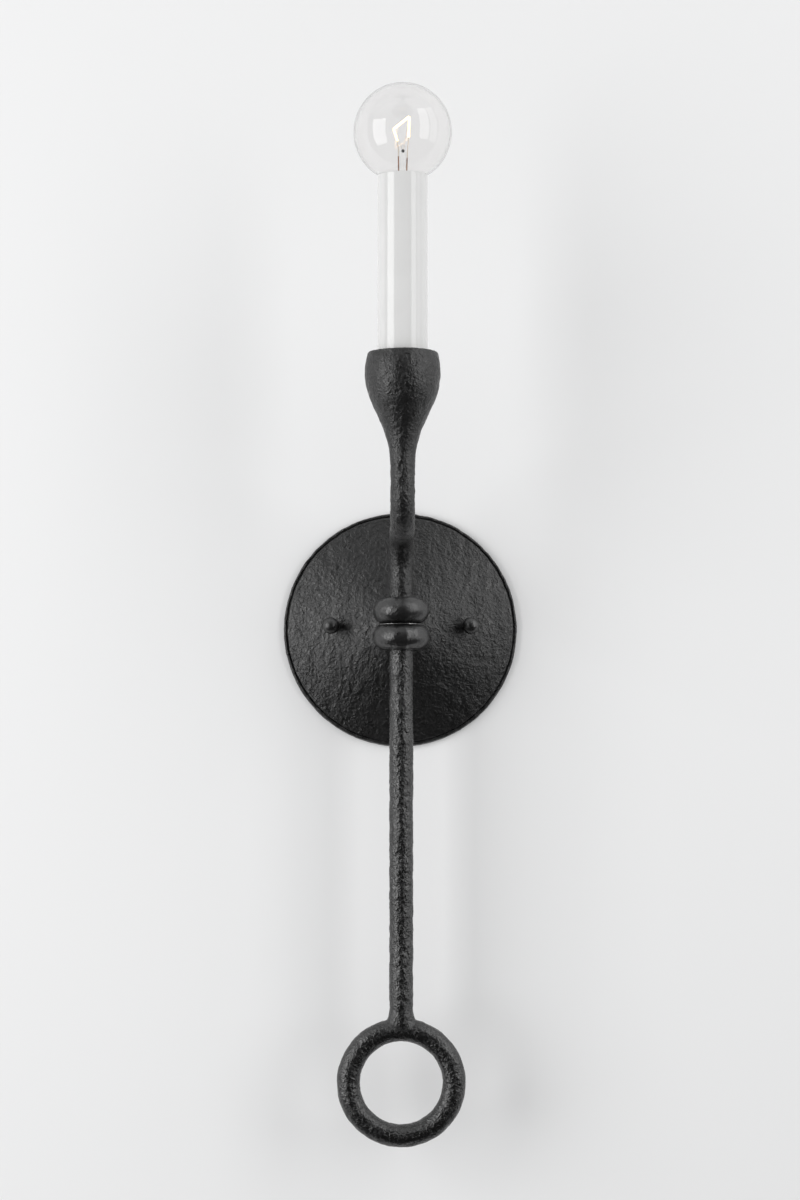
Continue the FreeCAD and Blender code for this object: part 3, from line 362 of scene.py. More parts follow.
# %% Iron
black_iron = finish("Black forged iron", skin, 1.0, 0.18 * MM, {"Specular IOR Level": 0.9},
                    Smooth=0.16, Rough=0.29)
planished_iron = finish("Planished iron", skin, 1.0, 0.17 * MM, {"Specular IOR Level": 0.72},
                        Smooth=0.26, Rough=0.40)
polished_iron = finish("Rubbed iron", skin, 0.8, 0.10 * MM, {"Specular IOR Level": 1.0},
                       Smooth=0.26, Rough=0.38)
knob_iron = finish("Knob iron", skin, 0.8, 0.10 * MM, {"Specular IOR Level": 1.0},
                   Smooth=0.26, Rough=0.36)
# Painted highlight: a lighter metal copy of the iron, used on the parting bead to draw the bright line in the
# groove.
highlight_bead_metal = finish("Painted highlight bead metal", skin, 0.5, 0.05 * MM, {"Metallic": 1.0},
                   Dark=(0.20, 0.20, 0.20, 1), Light=(0.42, 0.42, 0.41, 1), Smooth=0.25, Rough=0.4)

# %% Metals of the fittings
METAL = {"Metallic": 1.0}
zinc = finish("Zinc plated steel", mottle, 0.12, 0.03 * MM, METAL, Main=(0.52, 0.53, 0.54, 1),
              Stain=(0.40, 0.40, 0.36, 1), Patch_Scale=160.0, Smooth=0.28, Rough=0.5)
brass = finish("Brass", mottle, 0.10, 0.02 * MM, METAL, Main=(0.72, 0.52, 0.22, 1),
               Stain=(0.48, 0.31, 0.12, 1), Patch_Scale=240.0, Smooth=0.22, Rough=0.42)
copper = finish("Bare copper", mottle, 0.08, 0.02 * MM, METAL, Main=(0.80, 0.42, 0.26, 1),
                Stain=(0.48, 0.21, 0.11, 1), Patch_Scale=300.0, Smooth=0.22, Rough=0.4)
solder = finish("Solder", mottle, 0.25, 0.05 * MM, METAL, Main=(0.62, 0.62, 0.60, 1),
                Stain=(0.38, 0.38, 0.37, 1), Patch_Scale=600.0, Smooth=0.35, Rough=0.6)
lead_wire = finish("Nickel lead wire", mottle, 0.10, 0.02 * MM, METAL, Main=(0.72, 0.66, 0.58, 1),
                   Stain=(0.52, 0.42, 0.33, 1), Patch_Scale=420.0, Smooth=0.22, Rough=0.4)
seal_wire = finish("Copper-clad seal wire", mottle, 0.10, 0.02 * MM, METAL, Main=(0.30, 0.15, 0.08, 1),
                   Stain=(0.16, 0.08, 0.05, 1), Patch_Scale=700.0, Smooth=0.3, Rough=0.5)
green_paint = finish("Green screw dye", mottle, 0.10, 0.02 * MM, {"Metallic": 0.7},
                     Main=(0.03, 0.30, 0.09, 1), Stain=(0.02, 0.18, 0.06, 1), Smooth=0.3, Rough=0.5)

# %% Moulded and drawn parts
COATED = {"Coat Weight": 0.25, "Coat Roughness": 0.12}
sleeve_white = finish("White candle sleeve", mottle, 0.05, 0.003 * MM,
                      {"Coat Weight": 1.0, "Coat Roughness": 0.05, "Specular IOR Level": 0.2},
                      Main=(0.665, 0.665, 0.66, 1), Stain=(0.65, 0.65, 0.645, 1),
                      Patch_Scale=60.0, Grain_Scale=900.0, Smooth=0.45, Rough=0.55)
phenolic = finish("Socket moulding", mottle, 0.10, 0.03 * MM, None, Main=(0.030, 0.022, 0.018, 1),
                  Stain=(0.045, 0.032, 0.025, 1), Smooth=0.35, Rough=0.5)
fibre = finish("Fibre liner", mottle, 0.35, 0.06 * MM, None, Main=(0.46, 0.36, 0.23, 1),
               Stain=(0.36, 0.27, 0.16, 1), Patch_Scale=350.0, Stretch=(1.0, 1.0, 0.2),
               Smooth=0.75, Rough=0.95)
black_glass = finish("Black base insulator", mottle, 0.05, 0.02 * MM, COATED, Main=(0.014, 0.014, 0.016, 1),
                     Stain=(0.022, 0.022, 0.026, 1), Smooth=0.15, Rough=0.3)
black_jacket = finish("Black wire jacket", mottle, 0.10, 0.03 * MM, COATED, Main=(0.016, 0.016, 0.016, 1),
                      Stain=(0.028, 0.028, 0.028, 1), Smooth=0.35, Rough=0.5)
white_jacket = finish("White wire jacket", mottle, 0.10, 0.03 * MM, COATED, Main=(0.74, 0.73, 0.69, 1),
                      Stain=(0.66, 0.64, 0.58, 1), Smooth=0.35, Rough=0.5)
nut_shell = finish("Orange wire nut", mottle, 0.12, 0.03 * MM, COATED, Main=(0.78, 0.20, 0.03, 1),
                   Stain=(0.66, 0.15, 0.02, 1), Smooth=0.35, Rough=0.5)

# %% [markdown]
# ## Glass
#
# A bulb's globe is a thin shell with two walls, and its bright outline comes from light that bends through both.
# The shader is glass, with painted shade that greys its colour towards the edge, where one looks along the wall.
# Shadow rays pass through it by the Light Path node, because tracing each lamp through curved glass would take
# far too long and would leave the filament dark.

# %% Glass finish
GLASS_IOR = 1.47
PAINTED_RIM_SHADE_SPAN = (0.72, 0.98)
SHADOW_TINT = (0.93, 0.93, 0.93, 1)


def glass_finish(name, tint, painted_rim_shade, glass_roughness):
    """Clear glass that lets shadow rays through, with painted shade that greys its colour where one looks along
    its wall.
    """
    material, shader = new_material(name)
    tree = material.node_tree
    shader.inputs["Roughness"].default_value = glass_roughness
    shader.inputs["Transmission Weight"].default_value = 1.0
    shader.inputs["IOR"].default_value = GLASS_IOR
    # Painted shade: the glass colour turns grey towards the edge of the globe and the stem, where one looks along
    # the wall.
    facing = add_node(tree, "ShaderNodeLayerWeight", Blend=0.5).outputs["Facing"]
    tree.links.new(mix_colour(tree, spread(tree, facing, *PAINTED_RIM_SHADE_SPAN), tint, painted_rim_shade),
                   shader.inputs["Base Color"])
    ray = add_node(tree, "ShaderNodeLightPath")
    passes = math_node(tree, "MAXIMUM", ray.outputs["Is Shadow Ray"], ray.outputs["Is Diffuse Ray"])
    clear = add_node(tree, "ShaderNodeBsdfTransparent", Color=SHADOW_TINT)
    mixed = add_node(tree, "ShaderNodeMixShader", i0=passes, i1=shader.outputs[0], i2=clear.outputs[0])
    tree.links.new(mixed.outputs[0], tree.nodes["Material Output"].inputs["Surface"])
    return material


globe_glass = glass_finish("Globe glass", (0.955, 0.95, 0.948, 1), (0.30, 0.30, 0.30, 1), 0.0)
stem_glass = glass_finish("Stem glass", (0.97, 0.97, 0.965, 1), (0.75, 0.75, 0.75, 1), 0.02)

# %% Glowing filament
glow, glow_shader = new_material("Glowing tungsten")
tree = glow.node_tree
glow_shader.inputs["Base Color"].default_value = (0.10, 0.06, 0.04, 1)
glow_shader.inputs["Roughness"].default_value = 0.5
edge = add_node(tree, "ShaderNodeLayerWeight", Blend=0.35).outputs["Facing"]
heat = mix_colour(tree, edge, (1.0, 0.86, 0.52, 1), (1.0, 0.38, 0.06, 1))
tree.links.new(heat, glow_shader.inputs["Emission Color"])
glow_shader.inputs["Emission Strength"].default_value = 4.0

# %% [markdown]
# ## Casting the iron pieces again
#
# The frame's iron solids have the right shapes, but their edges are as sharp as a drawing and their skins are
# perfectly smooth. Iron from a forge isn't. Modelling each dent by hand would be slow, so each piece is cast
# again: the Remesh modifier wraps it in an even net of small faces, Smooth softens every edge a little, and a
# geometry node group then presses hammer marks into it along its normals. Its Fullness input makes up for what the
# marks take away. The marks depend only on the place in space, so they run on across a joint between two pieces.

# %% Hammer marks
marks, given, result = new_group("Hammer marks", [
    ("Geometry", "Geometry", None),
    ("Dent Size", "Float", 4.2 * MM),
    ("Dent Depth", "Float", 0.36 * MM),
    ("Wrinkle Size", "Float", 2.1 * MM),
    ("Wrinkle Depth", "Float", 0.16 * MM),
    ("Fullness", "Float", 0.20 * MM),
    ("Stretch", "Vector", (1.0, 1.0, 0.8)),
], [("Geometry", "Geometry")], "GeometryNodeTree")
place = marks.nodes.new("GeometryNodeInputPosition").outputs[0]
normal = marks.nodes.new("GeometryNodeInputNormal").outputs[0]


def stretched_noise(size, detail, distortion):
    per_metre = math_node(marks, "DIVIDE", 1.0, size)
    drawn = add_node(marks, "ShaderNodeVectorMath", {"operation": "MULTIPLY"},
                     i0=place, i1=given.outputs["Stretch"]).outputs[0]
    return noise(marks, drawn, per_metre, detail, 0.5, distortion)


dents = spread(marks, stretched_noise(given.outputs["Dent Size"], 1.5, 0.5), 0.28, 0.72)
folds = math_node(marks, "ABSOLUTE", math_node(
    marks, "SUBTRACT", stretched_noise(given.outputs["Wrinkle Size"], 2.0, 1.2), 0.5))
wrinkles = spread(marks, folds, 0.0, 0.14)
pressed = math_node(marks, "ADD",
                    math_node(marks, "MULTIPLY", dents, given.outputs["Dent Depth"]),
                    math_node(marks, "MULTIPLY", wrinkles, given.outputs["Wrinkle Depth"]))
inward = add_node(marks, "ShaderNodeVectorMath", {"operation": "SCALE"}, i0=normal,
                  Scale=math_node(marks, "SUBTRACT", given.outputs["Fullness"], pressed)).outputs[0]
moved = add_node(marks, "GeometryNodeSetPosition", Geometry=given.outputs["Geometry"], Offset=inward)
marks.links.new(moved.outputs[0], result.inputs["Geometry"])

# %% Piece helpers
WELD_DISTANCE = 0.001 * MM
SAME_HEIGHT = 0.05 * MM


def settle(piece):
    """Turns what the modifiers make into the piece's own mesh."""
    graph = bpy.context.evaluated_depsgraph_get()
    made = bpy.data.meshes.new_from_object(piece.evaluated_get(graph))
    piece.modifiers.clear()
    piece.data = made
    return piece


def dress(piece, body, material, slot, *nodes):
    """Gives a piece its finish, its body and the nodes that it stands for."""
    piece.data.materials.clear()
    piece.data.materials.append(material)
    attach(piece, body)
    if nodes:
        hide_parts(*nodes)
    print(piece.name, "has", len(piece.data.vertices) if piece.type == "MESH" else "a curve's", "points")


def hammer(piece, **depths):
    """Presses the marks into a piece. Sizes that aren't given stay as the group has them."""
    hammering = piece.modifiers.new("Hammer marks", "NODES")
    hammering.node_group = marks
    for item in marks.interface.items_tree:
        key = item.name.replace(" ", "_").lower()
        if key in depths:
            hammering[item.identifier] = depths[key]
    return settle(piece)


def recast(node, name, face_size, smoothing, longer=()):
    """A copy of a node's solid in small even faces with soft edges.

    longer holds (height, distance) pairs: an end at that height goes on into its neighbour, so that the
    softened edges of two pieces leave no gap between them.
    """
    piece = bpy.data.objects.new(name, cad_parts[node].data.copy())
    bpy.context.collection.objects.link(piece)
    welded = bmesh.new()
    welded.from_mesh(piece.data)
    bmesh.ops.remove_doubles(welded, verts=welded.verts, dist=WELD_DISTANCE)
    for height, distance in longer:
        for point in welded.verts:
            if abs(point.co.z - height) < SAME_HEIGHT:
                point.co.z += distance
    welded.to_mesh(piece.data)
    welded.free()
    net = piece.modifiers.new("Even net", "REMESH")
    net.mode = "VOXEL"
    net.voxel_size = face_size
    net.use_smooth_shade = True
    soft = piece.modifiers.new("Soft edges", "SMOOTH")
    soft.factor = 0.5
    soft.iterations = smoothing
    return piece


# %% [markdown]
# ### Knuckle barrel, rod, ring, neck and cup
#
# The barrel, the rod and the ring are worked hardest and shine most. The neck and the cup, like the plate's cone,
# are planished: hammered over again with a flat face, which leaves flatter marks and a duller skin. Each row gives
# a node's iron, the size of its faces, how often it is smoothed, which ends go on into a neighbour, and the marks
# that differ from the group's own.

# %% Forged pieces
FINE = 0.34 * MM
FINE_ON_CUP = 0.37 * MM
INTO_NEIGHBOUR = 1.2 * MM
rod_foot, rod_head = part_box("bottom_ring")[1].z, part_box("collar_lower_ring")[0].z
neck_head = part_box("torch_cup")[0].z
FORGED = {
    "collar_core": (black_iron, FINE, 2, (), {}),
    "lower_rod": (black_iron, FINE, 2, ((rod_foot, -INTO_NEIGHBOUR), (rod_head, INTO_NEIGHBOUR)), {}),
    "bottom_ring": (black_iron, FINE, 8, (),
                    dict(dent_size=6 * MM, dent_depth=0.30 * MM, fullness=0.13 * MM)),
    "neck_tube": (planished_iron, FINE, 2, ((neck_head, INTO_NEIGHBOUR),), {}),
    "torch_cup": (planished_iron, FINE_ON_CUP, 2, (),
                  dict(dent_size=6 * MM, dent_depth=0.30 * MM, wrinkle_depth=0.13 * MM)),
}
for node, (iron, face_size, smoothing, longer, depths) in FORGED.items():
    piece = hammer(recast(node, f"forged_{node}", face_size, smoothing, longer), **depths)
    dress(piece, "fixture", iron, "black_iron", node)

# %% [markdown]
# ## Pieces made on a lathe
#
# The plate, the knuckle rings, the ball knobs, the candle sleeve, the glass and the wire nuts are round about one
# line, so each is drawn as half an outline and spun. An outline is a list of corners in millimetres, as (distance
# from the line, height along it), and a third number rounds that corner.

# %% Outline and lathe
NEARLY_NOTHING = 0.001
SHARP_ANGLE = math.radians(40)


def rounded(corners, arc_steps=8):
    """The corners with their arcs filled in, as plain (distance, height) points."""
    points = []
    for index, (x, y, *radius) in enumerate(corners):
        here = Vector((x, y))
        if not radius:
            points.append(here)
            continue
        before = (Vector(corners[index - 1][:2]) - here).normalized()
        after = (Vector(corners[(index + 1) % len(corners)][:2]) - here).normalized()
        half = before.angle(after) / 2
        run = radius[0] / math.tan(half)
        centre = here + (before + after).normalized() * radius[0] / math.sin(half)
        start, end = here + before * run - centre, here + after * run - centre
        for step in range(arc_steps + 1):
            points.append(centre + start.slerp(end, step / arc_steps) * radius[0])
    return points


def lathe(name, outline, foot, along, steps, closed=False, wave=None):
    """Spins an outline round the line from foot. wave(angle, height) changes its radius, in mm."""
    across = Vector((1, 0, 0)) if abs(along.x) < NEARLY_NOTHING else along.cross(OUT).normalized()
    beside = along.cross(across)
    shape = bmesh.new()
    rings = []
    for distance, height in outline:
        if distance < NEARLY_NOTHING:
            rings.append([shape.verts.new(foot + along * height * MM)] * steps)
            continue
        ring = []
        for step in range(steps):
            angle = 2 * math.pi * step / steps
            reach = distance + (wave(angle, height) if wave else 0)
            spoke = across * math.cos(angle) + beside * math.sin(angle)
            ring.append(shape.verts.new(foot + (spoke * reach + along * height) * MM))
        rings.append(ring)
    pairs = list(zip(rings, rings[1:] + rings[:1] if closed else rings[1:]))
    for lower, upper in pairs:
        for step in range(steps):
            corner_points = [lower[step - 1], lower[step], upper[step], upper[step - 1]]
            unique = list(dict.fromkeys(corner_points))
            if len(unique) > 2:
                shape.faces.new(unique)
    bmesh.ops.recalc_face_normals(shape, faces=shape.faces)
    mesh = bpy.data.meshes.new(name)
    shape.to_mesh(mesh)
    shape.free()
    mesh.shade_smooth()
    mesh.set_sharp_from_angle(angle=SHARP_ANGLE)
    piece = bpy.data.objects.new(name, mesh)
    bpy.context.collection.objects.link(piece)
    return piece


# %% [markdown]
# ### Backplate
#
# The plate is a shallow cone in a narrow flat rim. On the real one the cone and the rim meet in a rough crease,
# which shows as a broken black line just inside the edge. The outline has that crease, and a slow wobble of its
# radius makes it open in some places and close in others.

# %% Backplate
low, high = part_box("backplate")
plate_radius = high.x / MM
pad_depth = -low.y / MM
PLATE_WALL = 1.8
PAD_RADIUS = 12.0
CONE_EDGE = (61.35, 4.15)
CREASE = (61.7, 2.0)
RIM_DEPTH = 3.2
CREASE_MOUTH = 0.35
CREASE_WANDER = 0.35
CREASE_WAVES = 14
CREASE_IN_AT_FOOT = 0.8
WOBBLE_RISE = 1.0
WOBBLE_REACH = 1.6
CONE_RINGS = 104
PLATE_STEPS = 600


def between(start, end, count):
    """Points from start up to, but not at, end."""
    return [tuple(a + (b - a) * step / count for a, b in zip(start, end)) for step in range(count)]


def crease_wobble(angle, depth):
    """The crease wanders, and lies further in at the foot of the plate. The rest of the plate stays true."""
    nearness = max(0, 1 - abs(depth - CREASE[1] - WOBBLE_RISE) / WOBBLE_REACH)
    wander = CREASE_WANDER * noise_at(Vector((math.cos(angle), math.sin(angle), 0)) * CREASE_WAVES)
    return nearness * (wander - CREASE_IN_AT_FOOT * max(0, -math.sin(angle)))


plate_outline = (
    [(0, pad_depth)] + between((2, pad_depth), (PAD_RADIUS, pad_depth), 12)
    + between((PAD_RADIUS, pad_depth), CONE_EDGE, CONE_RINGS)[:-2]
    + rounded([(PAD_RADIUS, pad_depth), (*CONE_EDGE, 0.9), (*CREASE, 0.15),
               (CREASE[0] + CREASE_MOUTH, RIM_DEPTH, 0.25), (plate_radius, RIM_DEPTH, 1.0), (plate_radius, 0)],
              arc_steps=6)[1:]
    + [(plate_radius - PLATE_WALL, 0), (plate_radius - PLATE_WALL, RIM_DEPTH - PLATE_WALL)]
    + between((CONE_EDGE[0] - PLATE_WALL, CONE_EDGE[1] - PLATE_WALL), (PAD_RADIUS, pad_depth - PLATE_WALL), 12)
    + between((PAD_RADIUS, pad_depth - PLATE_WALL), (0, pad_depth - PLATE_WALL), 3)
    + [(0, pad_depth - PLATE_WALL)]
)
plate = lathe("hammered_backplate", plate_outline, Vector((0, 0, 0)), OUT, PLATE_STEPS, wave=crease_wobble)
hammer(plate, dent_size=6 * MM, dent_depth=0.26 * MM, wrinkle_size=1.7 * MM, wrinkle_depth=0.10 * MM,
       fullness=0.0)
dress(plate, "fixture", planished_iron, "black_iron", "backplate")

# %% [markdown]
# ### Knuckle rings
#
# Two half-round rings sit on each other round the knuckle. They are rubbed almost smooth, so their marks are
# wide and shallow. In the groove between them runs a fine bead with a light bare-metal finish. That finish is
# painted highlight: it stands in for the line of light in the groove, and as metal it also reflects the lamps.

# %% Knuckle rings
RING_STEPS = 220
RING_ARC_STEPS = 56
BEHIND_ARC = 0.1
BEAD_RADIUS = 0.32
BEAD_REACH = 11.9
BEAD_CORNERS = 12
knuckle_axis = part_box("lower_rod")[0].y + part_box("lower_rod")[1].x
for side in ("upper", "lower"):
    low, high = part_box(f"collar_{side}_ring")
    crest, half = high.x / MM, (high.z - low.z) / 2 / MM
    bore = crest - half - BEHIND_ARC
    section = [(crest - half + half * math.sin(angle), half - half * math.cos(angle))
               for angle in (math.pi * step / RING_ARC_STEPS for step in range(RING_ARC_STEPS + 1))]
    ring = lathe(f"knuckle_ring_{side}", [(bore, section[0][1])] + section + [(bore, section[-1][1])],
                 Vector((0, knuckle_axis, low.z)), UP, RING_STEPS, closed=True)
    hammer(ring, dent_size=7 * MM, dent_depth=0.42 * MM, wrinkle_size=3 * MM, wrinkle_depth=0.05 * MM)
    dress(ring, "fixture", polished_iron, "black_iron", f"collar_{side}_ring")

bead_circle = [(BEAD_REACH + BEAD_RADIUS * math.cos(angle), BEAD_RADIUS * math.sin(angle))
               for angle in (2 * math.pi * step / BEAD_CORNERS for step in range(BEAD_CORNERS))]
parting = Vector((0, knuckle_axis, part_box("collar_lower_ring")[1].z - BEAD_RADIUS * MM))
# The bead's light metal is painted highlight: it stands in for the bright line of light between the rings.
bead = hammer(lathe("knuckle_parting_bead", bead_circle, parting, UP, RING_STEPS, closed=True),
              dent_size=2.5 * MM, dent_depth=0.16 * MM, wrinkle_depth=0.08 * MM, fullness=0.05 * MM)
dress(bead, "fixture", highlight_bead_metal, "black_iron")

# %% [markdown]
# ### Ball knobs
#
# Each knob is a ball on a short neck, with a threaded hole from behind. It screws onto a stud and pulls the
# plate to the wall, so it has its own body in the frame, and its hole has to be there when it comes off.

# %% Ball knobs
BALL_RADIUS = 4.45
NECK_RADIUS = 2.8
STUD_HOLE_RADIUS = 2.06
STUD_HOLE_DEPTH = 6.3
KNOB_CHAMFER = 0.35
KNOB_ARC_STEPS = 28
KNOB_STEPS = 64

for side in ("left", "right"):
    low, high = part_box(f"knob_{side}")
    foot = Vector(((low.x + high.x) / 2, high.y, knob_height))
    length = (high.y - low.y) / MM
    centre = length - BALL_RADIUS
    lean = math.asin(NECK_RADIUS / BALL_RADIUS)
    ball = [(BALL_RADIUS * math.sin(angle), centre - BALL_RADIUS * math.cos(angle))
            for angle in (lean + (math.pi - lean) * step / KNOB_ARC_STEPS for step in range(KNOB_ARC_STEPS + 1))]
    outline = [(0, STUD_HOLE_DEPTH), (STUD_HOLE_RADIUS, STUD_HOLE_DEPTH), (STUD_HOLE_RADIUS, 0),
               *rounded([(NECK_RADIUS - KNOB_CHAMFER, 0), (NECK_RADIUS, KNOB_CHAMFER)])] + ball
    knob = lathe(f"ball_knob_{side}", outline, foot, OUT, KNOB_STEPS)
    dress(knob, f"knob_{side}", knob_iron, "black_iron", f"knob_{side}")

# %% [markdown]
# ### Candle sleeve
#
# The sleeve is a glossy white tube that looks like a candle. It is a closed band of four corners, so the wall
# has a real thickness, and its rim is rounded as on the real tube.

# %% Candle sleeve
low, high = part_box("candle_sleeve")
SLEEVE_WALL = 0.9
SLEEVE_STEPS = 128
sleeve_radius = (high.x - low.x) / 2 / MM
sleeve_length = (high.z - low.z) / MM
inside = sleeve_radius - SLEEVE_WALL
sleeve = lathe("white_candle_sleeve", rounded([
    (inside, 0, 0.2), (sleeve_radius, 0, 0.3), (sleeve_radius, sleeve_length, 0.42), (inside, sleeve_length, 0.42),
]), Vector((0, cup_axis, low.z)), UP, SLEEVE_STEPS, closed=True)
dress(sleeve, "sleeve", sleeve_white, "sleeve_white", "candle_sleeve")

# %% [markdown]
# ### Globe
#
# The globe's outline is two arcs and a straight line: the big ball, the hollow curve under it, and the neck
# that goes down into the screw base. The inner wall follows the same curves, one wall thickness in.

# %% Globe
low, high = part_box("bulb_globe")
GLOBE_WALL = 0.7
GLOBE_NECK = 6.3
GLOBE_FILLET = 8.4
NECK_IN_BASE = 5.3
NARROW_BELOW_BASE_TOP = 1.2
WIDE_ABOVE_BASE_TOP = 0.6
HOLLOW_ARC_STEPS = 12
BALL_ARC_STEPS = 96
GLOBE_STEPS = 224
globe_radius = (high.x - low.x) / 2 / MM
globe_height = (high.z - low.z) / MM - globe_radius
base_top = (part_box("bulb_base")[1].z - low.z) / MM


def globe_line(offset):
    """The globe's outline from its neck to its top, moved in by offset."""
    ball, fillet, neck = globe_radius - offset, GLOBE_FILLET + offset, GLOBE_NECK - offset
    drop = math.sqrt((ball + fillet) ** 2 - (neck + fillet) ** 2)
    meeting = math.atan2(neck + fillet, drop)
    start = [(NECK_IN_BASE - offset, 0), (NECK_IN_BASE - offset, base_top - NARROW_BELOW_BASE_TOP),
             (neck, base_top + WIDE_ABOVE_BASE_TOP)]
    hollow = [(neck + fillet - fillet * math.cos(angle), globe_height - drop + fillet * math.sin(angle))
              for angle in ((math.pi / 2 - meeting) * step / HOLLOW_ARC_STEPS
                            for step in range(HOLLOW_ARC_STEPS + 1))]
    upper = [(ball * math.sin(angle), globe_height - ball * math.cos(angle))
             for angle in (meeting + (math.pi - meeting) * step / BALL_ARC_STEPS
                           for step in range(1, BALL_ARC_STEPS + 1))]
    return start + hollow + upper


globe = lathe("clear_globe", globe_line(0) + globe_line(GLOBE_WALL)[::-1], Vector((0, cup_axis, low.z)),
              UP, GLOBE_STEPS, closed=True)
dress(globe, "bulb", globe_glass, "bulb_glass", "bulb_globe")

# %% [markdown]
# ### Filament
#
# The filament is a fine wire wound into a tight coil, and the coil is bent round two supports. A curve can do
# both: its points run round and round a path, and its bevel gives them the wire's thickness. The corners of the
# path are the frame's, read as distances from the globe's centre.

# %% Filament
globe_centre = Vector((0, cup_axis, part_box("bulb_globe")[1].z - globe_radius * MM))
FILAMENT_PATH = ((-2.6, 0, -4.4), (-4.7, -1.4, 1.4), (3.5, 1.4, 8.5), (3.0, 0, -2.6))
CORNER_RADIUS = 0.8
CORNER_STEPS = 8
COIL_RADIUS = 0.55
COIL_PITCH = 0.36
COIL_WIRE = 0.20
TURN_POINTS = 10


def bent_path(corners, radius, step):
    """Evenly spaced points along straight runs, with each inner corner rounded."""
    fine = [Vector(corners[0])]
    for before, here, after in zip(corners, corners[1:], corners[2:]):
        here = Vector(here)
        start = here + (Vector(before) - here).normalized() * radius
        end = here + (Vector(after) - here).normalized() * radius
        fine += [start.lerp(here, t).lerp(here.lerp(end, t), t)
                 for t in (k / CORNER_STEPS for k in range(CORNER_STEPS + 1))]
    fine.append(Vector(corners[-1]))
    points, spare = [fine[0]], 0.0
    for start, end in zip(fine, fine[1:]):
        length = (end - start).length
        while spare + step <= length:
            spare += step
            points.append(start.lerp(end, spare / length))
        spare -= length
    return points


path = bent_path(FILAMENT_PATH, CORNER_RADIUS, COIL_PITCH / TURN_POINTS)
coil = bpy.data.curves.new("coiled_filament", "CURVE")
coil.dimensions = "3D"
coil.bevel_depth = COIL_WIRE / 2 * MM
coil.bevel_resolution = 1
spline = coil.splines.new("POLY")
spline.points.add(len(path) - 1)
for index, (point, here) in enumerate(zip(spline.points, path)):
    ahead = (path[min(index + 1, len(path) - 1)] - path[max(index - 1, 0)]).normalized()
    side = ahead.cross(OUT).normalized()
    turn = 2 * math.pi * index / TURN_POINTS
    out = (side * math.cos(turn) + ahead.cross(side) * math.sin(turn)) * COIL_RADIUS
    point.co = (*(globe_centre + (here + out) * MM), 1)
filament = bpy.data.objects.new("coiled_filament", coil)
bpy.context.collection.objects.link(filament)
dress(filament, "bulb", glow, "filament", "bulb_filament")
print("the filament has", round(len(path) / TURN_POINTS), "turns")

# %% [markdown]
# ### Lead wires and supports
#
# Two stiff nickel wires carry the filament. Where they pass through the glass of the stem they are clad in copper,
# because copper seals to glass, and that part looks brown. Two hair-thin supports come from a dark button in the
# top of the stem and hook under the filament's corners.

# %% Lead wires and supports
FOOT_OF_WIRES = (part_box("bulb_leads")[0].z - globe_centre.z) / MM
SEAL_TOP = {"left": -12.2, "right": -13.0}
SEAL_HEIGHTS = (-24, -16)
SEAL_SHARE = 0.25
SEAL_THICKNESS = 1.25
LEAD_RADIUS = 0.25
LEAD_SPREAD = 2.1
LEAD_KNEE_SHARE, LEAD_KNEE_HEIGHT = 0.8, -9.0
LEAD_LAST_RUN = 2
SUPPORT_RADIUS = 0.10
SUPPORT_KNEE_HEIGHT = -5.5
HOOK_DROP = Vector((0, 0, -2.0))
BUTTON = (0.1, 0, -9.6)
BUTTON_STEPS = 20


def wire(name, corners, radius, material, slot, *nodes):
    """A smooth round wire through points that are given in mm from the globe's centre."""
    line = bpy.data.curves.new(name, "CURVE")
    line.dimensions = "3D"
    line.bevel_depth = radius * MM
    line.bevel_resolution = 3
    line.use_fill_caps = True
    spline = line.splines.new("NURBS")
    spline.points.add(len(corners) - 1)
    for point, corner in zip(spline.points, corners):
        point.co = (*(globe_centre + Vector(corner) * MM), 1)
    spline.order_u = 3
    spline.use_endpoint_u = True
    piece = bpy.data.objects.new(name, line)
    bpy.context.collection.objects.link(piece)
    dress(piece, "bulb", material, slot, *nodes)


for side, foot_x, tip in (("left", -LEAD_SPREAD, FILAMENT_PATH[0]), ("right", LEAD_SPREAD, FILAMENT_PATH[-1])):
    seal_top = (foot_x + (tip[0] - foot_x) * SEAL_SHARE, 0, SEAL_TOP[side])
    nodes = ["bulb_leads"] if side == "left" else []
    knee = (tip[0] * LEAD_KNEE_SHARE, 0, LEAD_KNEE_HEIGHT)
    wire(f"lead_wire_{side}", [seal_top, knee, (tip[0], 0, tip[2] - LEAD_LAST_RUN), tip], LEAD_RADIUS,
         lead_wire, "bulb_wire", *nodes)
    upright = [(foot_x, 0, height) for height in (FOOT_OF_WIRES, *SEAL_HEIGHTS)]
    wire(f"seal_wire_{side}", [*upright, seal_top], LEAD_RADIUS * SEAL_THICKNESS, seal_wire, "bulb_wire")
for side, corner in (("left", FILAMENT_PATH[1]), ("right", FILAMENT_PATH[2])):
    corner = Vector(corner)
    knee = (corner.x * 0.25, corner.y * 0.4, SUPPORT_KNEE_HEIGHT)
    wire(f"filament_support_{side}", [BUTTON, knee, corner * 0.9 + HOOK_DROP, corner], SUPPORT_RADIUS,
         lead_wire, "bulb_wire")
button = lathe("support_button", [(0, -0.9), (0.45, -0.7), (0.6, 0), (0.45, 0.7), (0, 0.9)],
               globe_centre + Vector(BUTTON) * MM, UP, BUTTON_STEPS)
dress(button, "bulb", black_glass, "base_insulator")

# %% [markdown]
# ### Wire nuts
#
# Behind the plate the wires end in three orange caps. A real cap has fine ribs down its taper, for the fingers.
# Each one is spun like the other round pieces, from the place where the frame has it, and a wave round its taper
# presses the ribs in.

